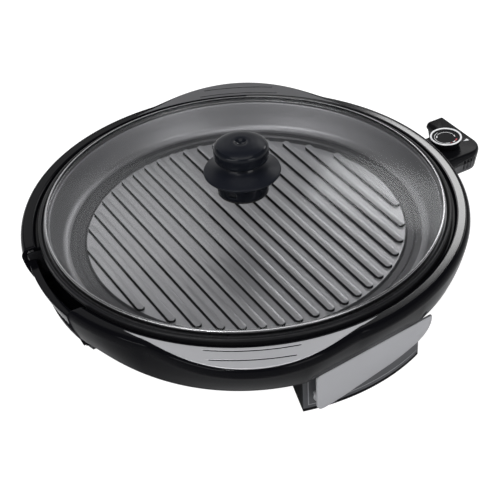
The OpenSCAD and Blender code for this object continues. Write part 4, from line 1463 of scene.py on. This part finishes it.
@dataclass
class TiltFeet(Part):
    """Silver leaves that lie along the legs and swing down to tilt the grill.

    Attributes:
        left: Place of the leaf's round end along the leg.
        right: Place of its tip.
        top: Height of its straight edge.
        pivot: Place and height of its pin.
        face: Distance of its face from the middle.
        thick: Its thickness.
        boss_r: Radius of the boss round the pin.
        boss_deep: How far that boss reaches behind the leaf.
    """

    left: float = -74.0
    right: float = 63.5
    top: float = 55.6
    pivot: Point = (-65.0, 22.0)
    face: float = 211.2
    thick: float = 3.0
    boss_r: float = 6.0
    boss_deep: float = 7.9

    def outline(self) -> Array:
        """The leaf's outline: straight top and left end, and a foot edge that rises into the tip.

        Returns:
            Points of (place along the leg, height), count by 2.
        """
        return np.array(rounded([
            (self.left, self.top, 4.0), (self.left, 13.4, 8.6), (-48.0, 14.6, 8.0), (-29.0, 17.0, 8.0),
            (-4.0, 20.2, 10.0), (20.0, 23.3, 12.0), (self.right - 16.0, 31.2, 8.0),
            (self.right - 5.5, 38.5, 6.0), (self.right - 0.6, 47.0, 5.0), (self.right, self.top, 2.0)],
            closed=True, steps=8))

    def build(self) -> None:
        """Builds both leaves as plates with a broad soft bevel, and their bosses."""
        plan, face, back = self.outline(), self.face, self.face - self.thick
        levels = ((0.4, back + 0.05), (0.0, back + 0.4), (0.0, face - 0.8), (0.3, face - 0.4),
                  (1.2, face - 0.1), (1.9, face))
        leaf = [self.at_x(self.shrink(plan, inset), x) for inset, x in levels]
        end = back - self.boss_deep
        rings = ((self.boss_r - 0.3, end), (self.boss_r, end + 0.3), (self.boss_r, back + 0.1))
        boss = [self.at_x(self.circle(r), x) for r, x in rings]
        ends = ((False, "front_tilt_foot", Body.FRONT_FOOT), (True, "rear_tilt_foot", Body.REAR_FOOT))
        for rear, name, body in ends:
            plate, hub = (loft([end_frame(x, rear) for x in loops]) for loops in (leaf, boss))
            self.grill.add(plate, name + "_leaf", LEAF, body, [name], 30.0)
            self.grill.add(hub, name + "_boss", LEAF, body)

    def circle(self, r: float) -> Array:
        """A circle round the pin.

        Args:
            r: Its radius.

        Returns:
            Points of (place along the leg, height), count by 2.
        """
        a = np.radians(np.linspace(0.0, 360.0, 49)[:-1])
        u, v = self.pivot
        return np.column_stack([u + r * np.cos(a), v + r * np.sin(a)])

    @staticmethod
    def at_x(flat: Array, x: float) -> Array:
        """Stands a plan outline up at distance x from the middle, count by 3."""
        return np.column_stack([np.full(len(flat), x), flat])

    @staticmethod
    def shrink(loop: Array, inset: float) -> Array:
        """Draws a closed loop in, along its corner normals.

        Args:
            loop: Points, count by 2.
            inset: How far each one moves.

        Returns:
            The smaller loop.
        """
        ahead = np.roll(loop, -1, 0) - np.roll(loop, 1, 0)
        normal = np.stack([ahead[:, 1], -ahead[:, 0]], 1)
        normal /= np.linalg.norm(normal, axis=1, keepdims=True) + 1e-12
        area = np.sum(loop[:, 0] * np.roll(loop[:, 1], -1) - np.roll(loop[:, 0], -1) * loop[:, 1])
        return loop - normal * inset * (1.0 if area > 0 else -1.0)


# ---- Studio ----


@dataclass(frozen=True)
class Lamp:
    """A soft box.

    Attributes:
        name: Its name.
        place: Where its middle hangs, in metres.
        size: Its width and height, in metres.
        power: Its output, in watts.
    """

    name: str
    place: tuple[float, float, float]
    size: tuple[float, float]
    power: float


LAMPS = (
    Lamp("overhead", (0.0, -0.2, 2.2), (1.6, 1.2), 14.0),
    Lamp("front_left", (-1.5, -1.5, 1.5), (1.5, 0.5), 20.0),
    Lamp("front_right", (1.4, -1.6, 1.3), (1.0, 1.0), 15.0),
    Lamp("key", (-0.55, -1.25, 1.7), (0.24, 0.06), 7.0),
    Lamp("back_left", (-0.75, 1.9, 1.6), (1.2, 0.9), 5.0),
    Lamp("right_rear", (0.95, 1.87, 1.50), (1.3, 0.45), 10.0),
)


@dataclass
class Studio:
    """Camera, light, background and floor, as in the photograph.

    Attributes:
        target: The point that the camera looks at, in metres.
        elevation: Its height over that point, in degrees.
        roll: Its turn about its own axis, in degrees.
        distance: Its distance from that point, in metres.
        lens: Its focal length, in millimetres.
        sky: Upward parts of a direction between which the surround dims, then its strength at both.
        soft: Strength of the even light from the world.
        floor_half: Half the floor's width, in millimetres.
        floor_glow: Share of the floor that is plain white to the camera.
        glow_power: Strength of that white.
        lamp_aim: The point that the soft boxes face, in metres.
    """

    target: tuple[float, float, float] = (0.0031, -0.0814, 0.100)
    elevation: float = 37.57
    roll: float = -3.27
    distance: float = 1.282
    lens: float = 96.98
    sky: tuple[float, float, float, float] = (0.20, 0.50, 1.0, 0.12)
    soft: float = 0.38
    floor_half: float = 3000.0
    floor_glow: float = 0.75
    glow_power: float = 1.3
    lamp_aim: tuple[float, float, float] = (0.0, 0.0, 0.08)

    def build(self) -> None:
        """Sets up the whole studio."""
        self.camera()
        self.world()
        self.floor()
        self.lights()
        bpy.context.scene.view_settings.view_transform = "Standard"

    def camera(self) -> None:
        """Places the camera that was fitted to the photograph."""
        data = bpy.data.cameras.new("camera")
        data.lens, data.sensor_width = self.lens, 36.0
        data.clip_start, data.clip_end = 0.05, 20.0
        cam = bpy.data.objects.new("camera", data)
        bpy.context.scene.collection.objects.link(cam)
        e = math.radians(self.elevation)
        back = Vector((0.0, -math.cos(e), math.sin(e)))
        cam.location = Vector(self.target) + back * self.distance
        aim = (-back).to_track_quat("-Z", "Y").to_matrix()
        cam.rotation_euler = (aim @ Matrix.Rotation(math.radians(self.roll), 3, "Z")).to_euler()
        bpy.context.scene.camera = cam

    def world(self) -> None:
        """A white surround that dims overhead, to the camera, to reflections and through glass.

        The rest of the light from the world is a soft even grey.
        """
        world = bpy.data.worlds.new("studio")
        bpy.context.scene.world = world
        world.use_nodes = True
        tree = world.node_tree
        tree.nodes.clear()
        link = tree.links.new
        out = tree.nodes.new("ShaderNodeOutputWorld")
        seen, lit = tree.nodes.new("ShaderNodeBackground"), tree.nodes.new("ShaderNodeBackground")
        mix = tree.nodes.new("ShaderNodeMixShader")
        place, split = tree.nodes.new("ShaderNodeTexCoord"), tree.nodes.new("ShaderNodeSeparateXYZ")
        fade = tree.nodes.new("ShaderNodeMapRange")
        for name, value in zip(("From Min", "From Max", "To Min", "To Max"), self.sky):
            fade.inputs[name].default_value = value
        link(place.outputs["Generated"], split.inputs[0])
        link(split.outputs["Z"], fade.inputs["Value"])
        link(fade.outputs[0], seen.inputs["Strength"])
        seen.inputs["Color"].default_value = (1.0, 1.0, 1.0, 1.0)
        lit.inputs["Color"].default_value = (0.80, 0.82, 0.86, 1.0)
        lit.inputs["Strength"].default_value = self.soft
        path = tree.nodes.new("ShaderNodeLightPath")
        shown = path.outputs["Is Camera Ray"]
        for other in ("Is Glossy Ray", "Is Transmission Ray"):
            both = tree.nodes.new("ShaderNodeMath")
            both.operation = "MAXIMUM"
            link(shown, both.inputs[0])
            link(path.outputs[other], both.inputs[1])
            shown = both.outputs[0]
        link(shown, mix.inputs[0])
        link(lit.outputs[0], mix.inputs[1])
        link(seen.outputs[0], mix.inputs[2])
        link(mix.outputs[0], out.inputs["Surface"])

    def floor(self) -> None:
        """A white table top under the grill, which keeps a soft part of its shadow."""
        made, size = Surface(), self.floor_half
        made.grid(np.array([[(x, y, 0.0) for y in (-size, size)] for x in (-size, size)]))
        floor = made.mesh("floor")
        material = bpy.data.materials.new("floor")
        material.use_nodes = True
        tree = material.node_tree
        shader = tree.nodes["Principled BSDF"]
        shader.inputs["Base Color"].default_value = (0.92, 0.92, 0.92, 1.0)
        shader.inputs["Roughness"].default_value = 0.6
        shader.inputs["Specular IOR Level"].default_value = 0.1
        glow, mix = tree.nodes.new("ShaderNodeEmission"), tree.nodes.new("ShaderNodeMixShader")
        glow.inputs["Strength"].default_value = self.glow_power
        path, share = tree.nodes.new("ShaderNodeLightPath"), tree.nodes.new("ShaderNodeMath")
        share.operation = "MULTIPLY"
        share.inputs[1].default_value = self.floor_glow
        tree.links.new(path.outputs["Is Camera Ray"], share.inputs[0])
        tree.links.new(share.outputs[0], mix.inputs[0])
        tree.links.new(shader.outputs[0], mix.inputs[1])
        tree.links.new(glow.outputs[0], mix.inputs[2])
        tree.links.new(mix.outputs[0], tree.nodes["Material Output"].inputs["Surface"])
        floor.data.materials.append(material)

    def lights(self) -> None:
        """Hangs the soft boxes, each turned to the grill."""
        for spot in LAMPS:
            data = bpy.data.lights.new(spot.name, "AREA")
            data.shape = "RECTANGLE"
            data.size, data.size_y = spot.size
            data.energy = spot.power
            lamp = bpy.data.objects.new(spot.name, data)
            bpy.context.scene.collection.objects.link(lamp)
            lamp.location = spot.place
            aim = Vector(self.lamp_aim) - Vector(spot.place)
            lamp.rotation_euler = aim.to_track_quat("-Z", "Y").to_euler()


def main() -> None:
    """Builds the scene."""
    logging.basicConfig(level=logging.INFO, format="%(name)s %(message)s")
    for left in list(bpy.data.objects):
        bpy.data.objects.remove(left)
    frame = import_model()
    Grill(frame, Shading()).build()
    Studio().build()


if __name__ == "__main__":
    main()
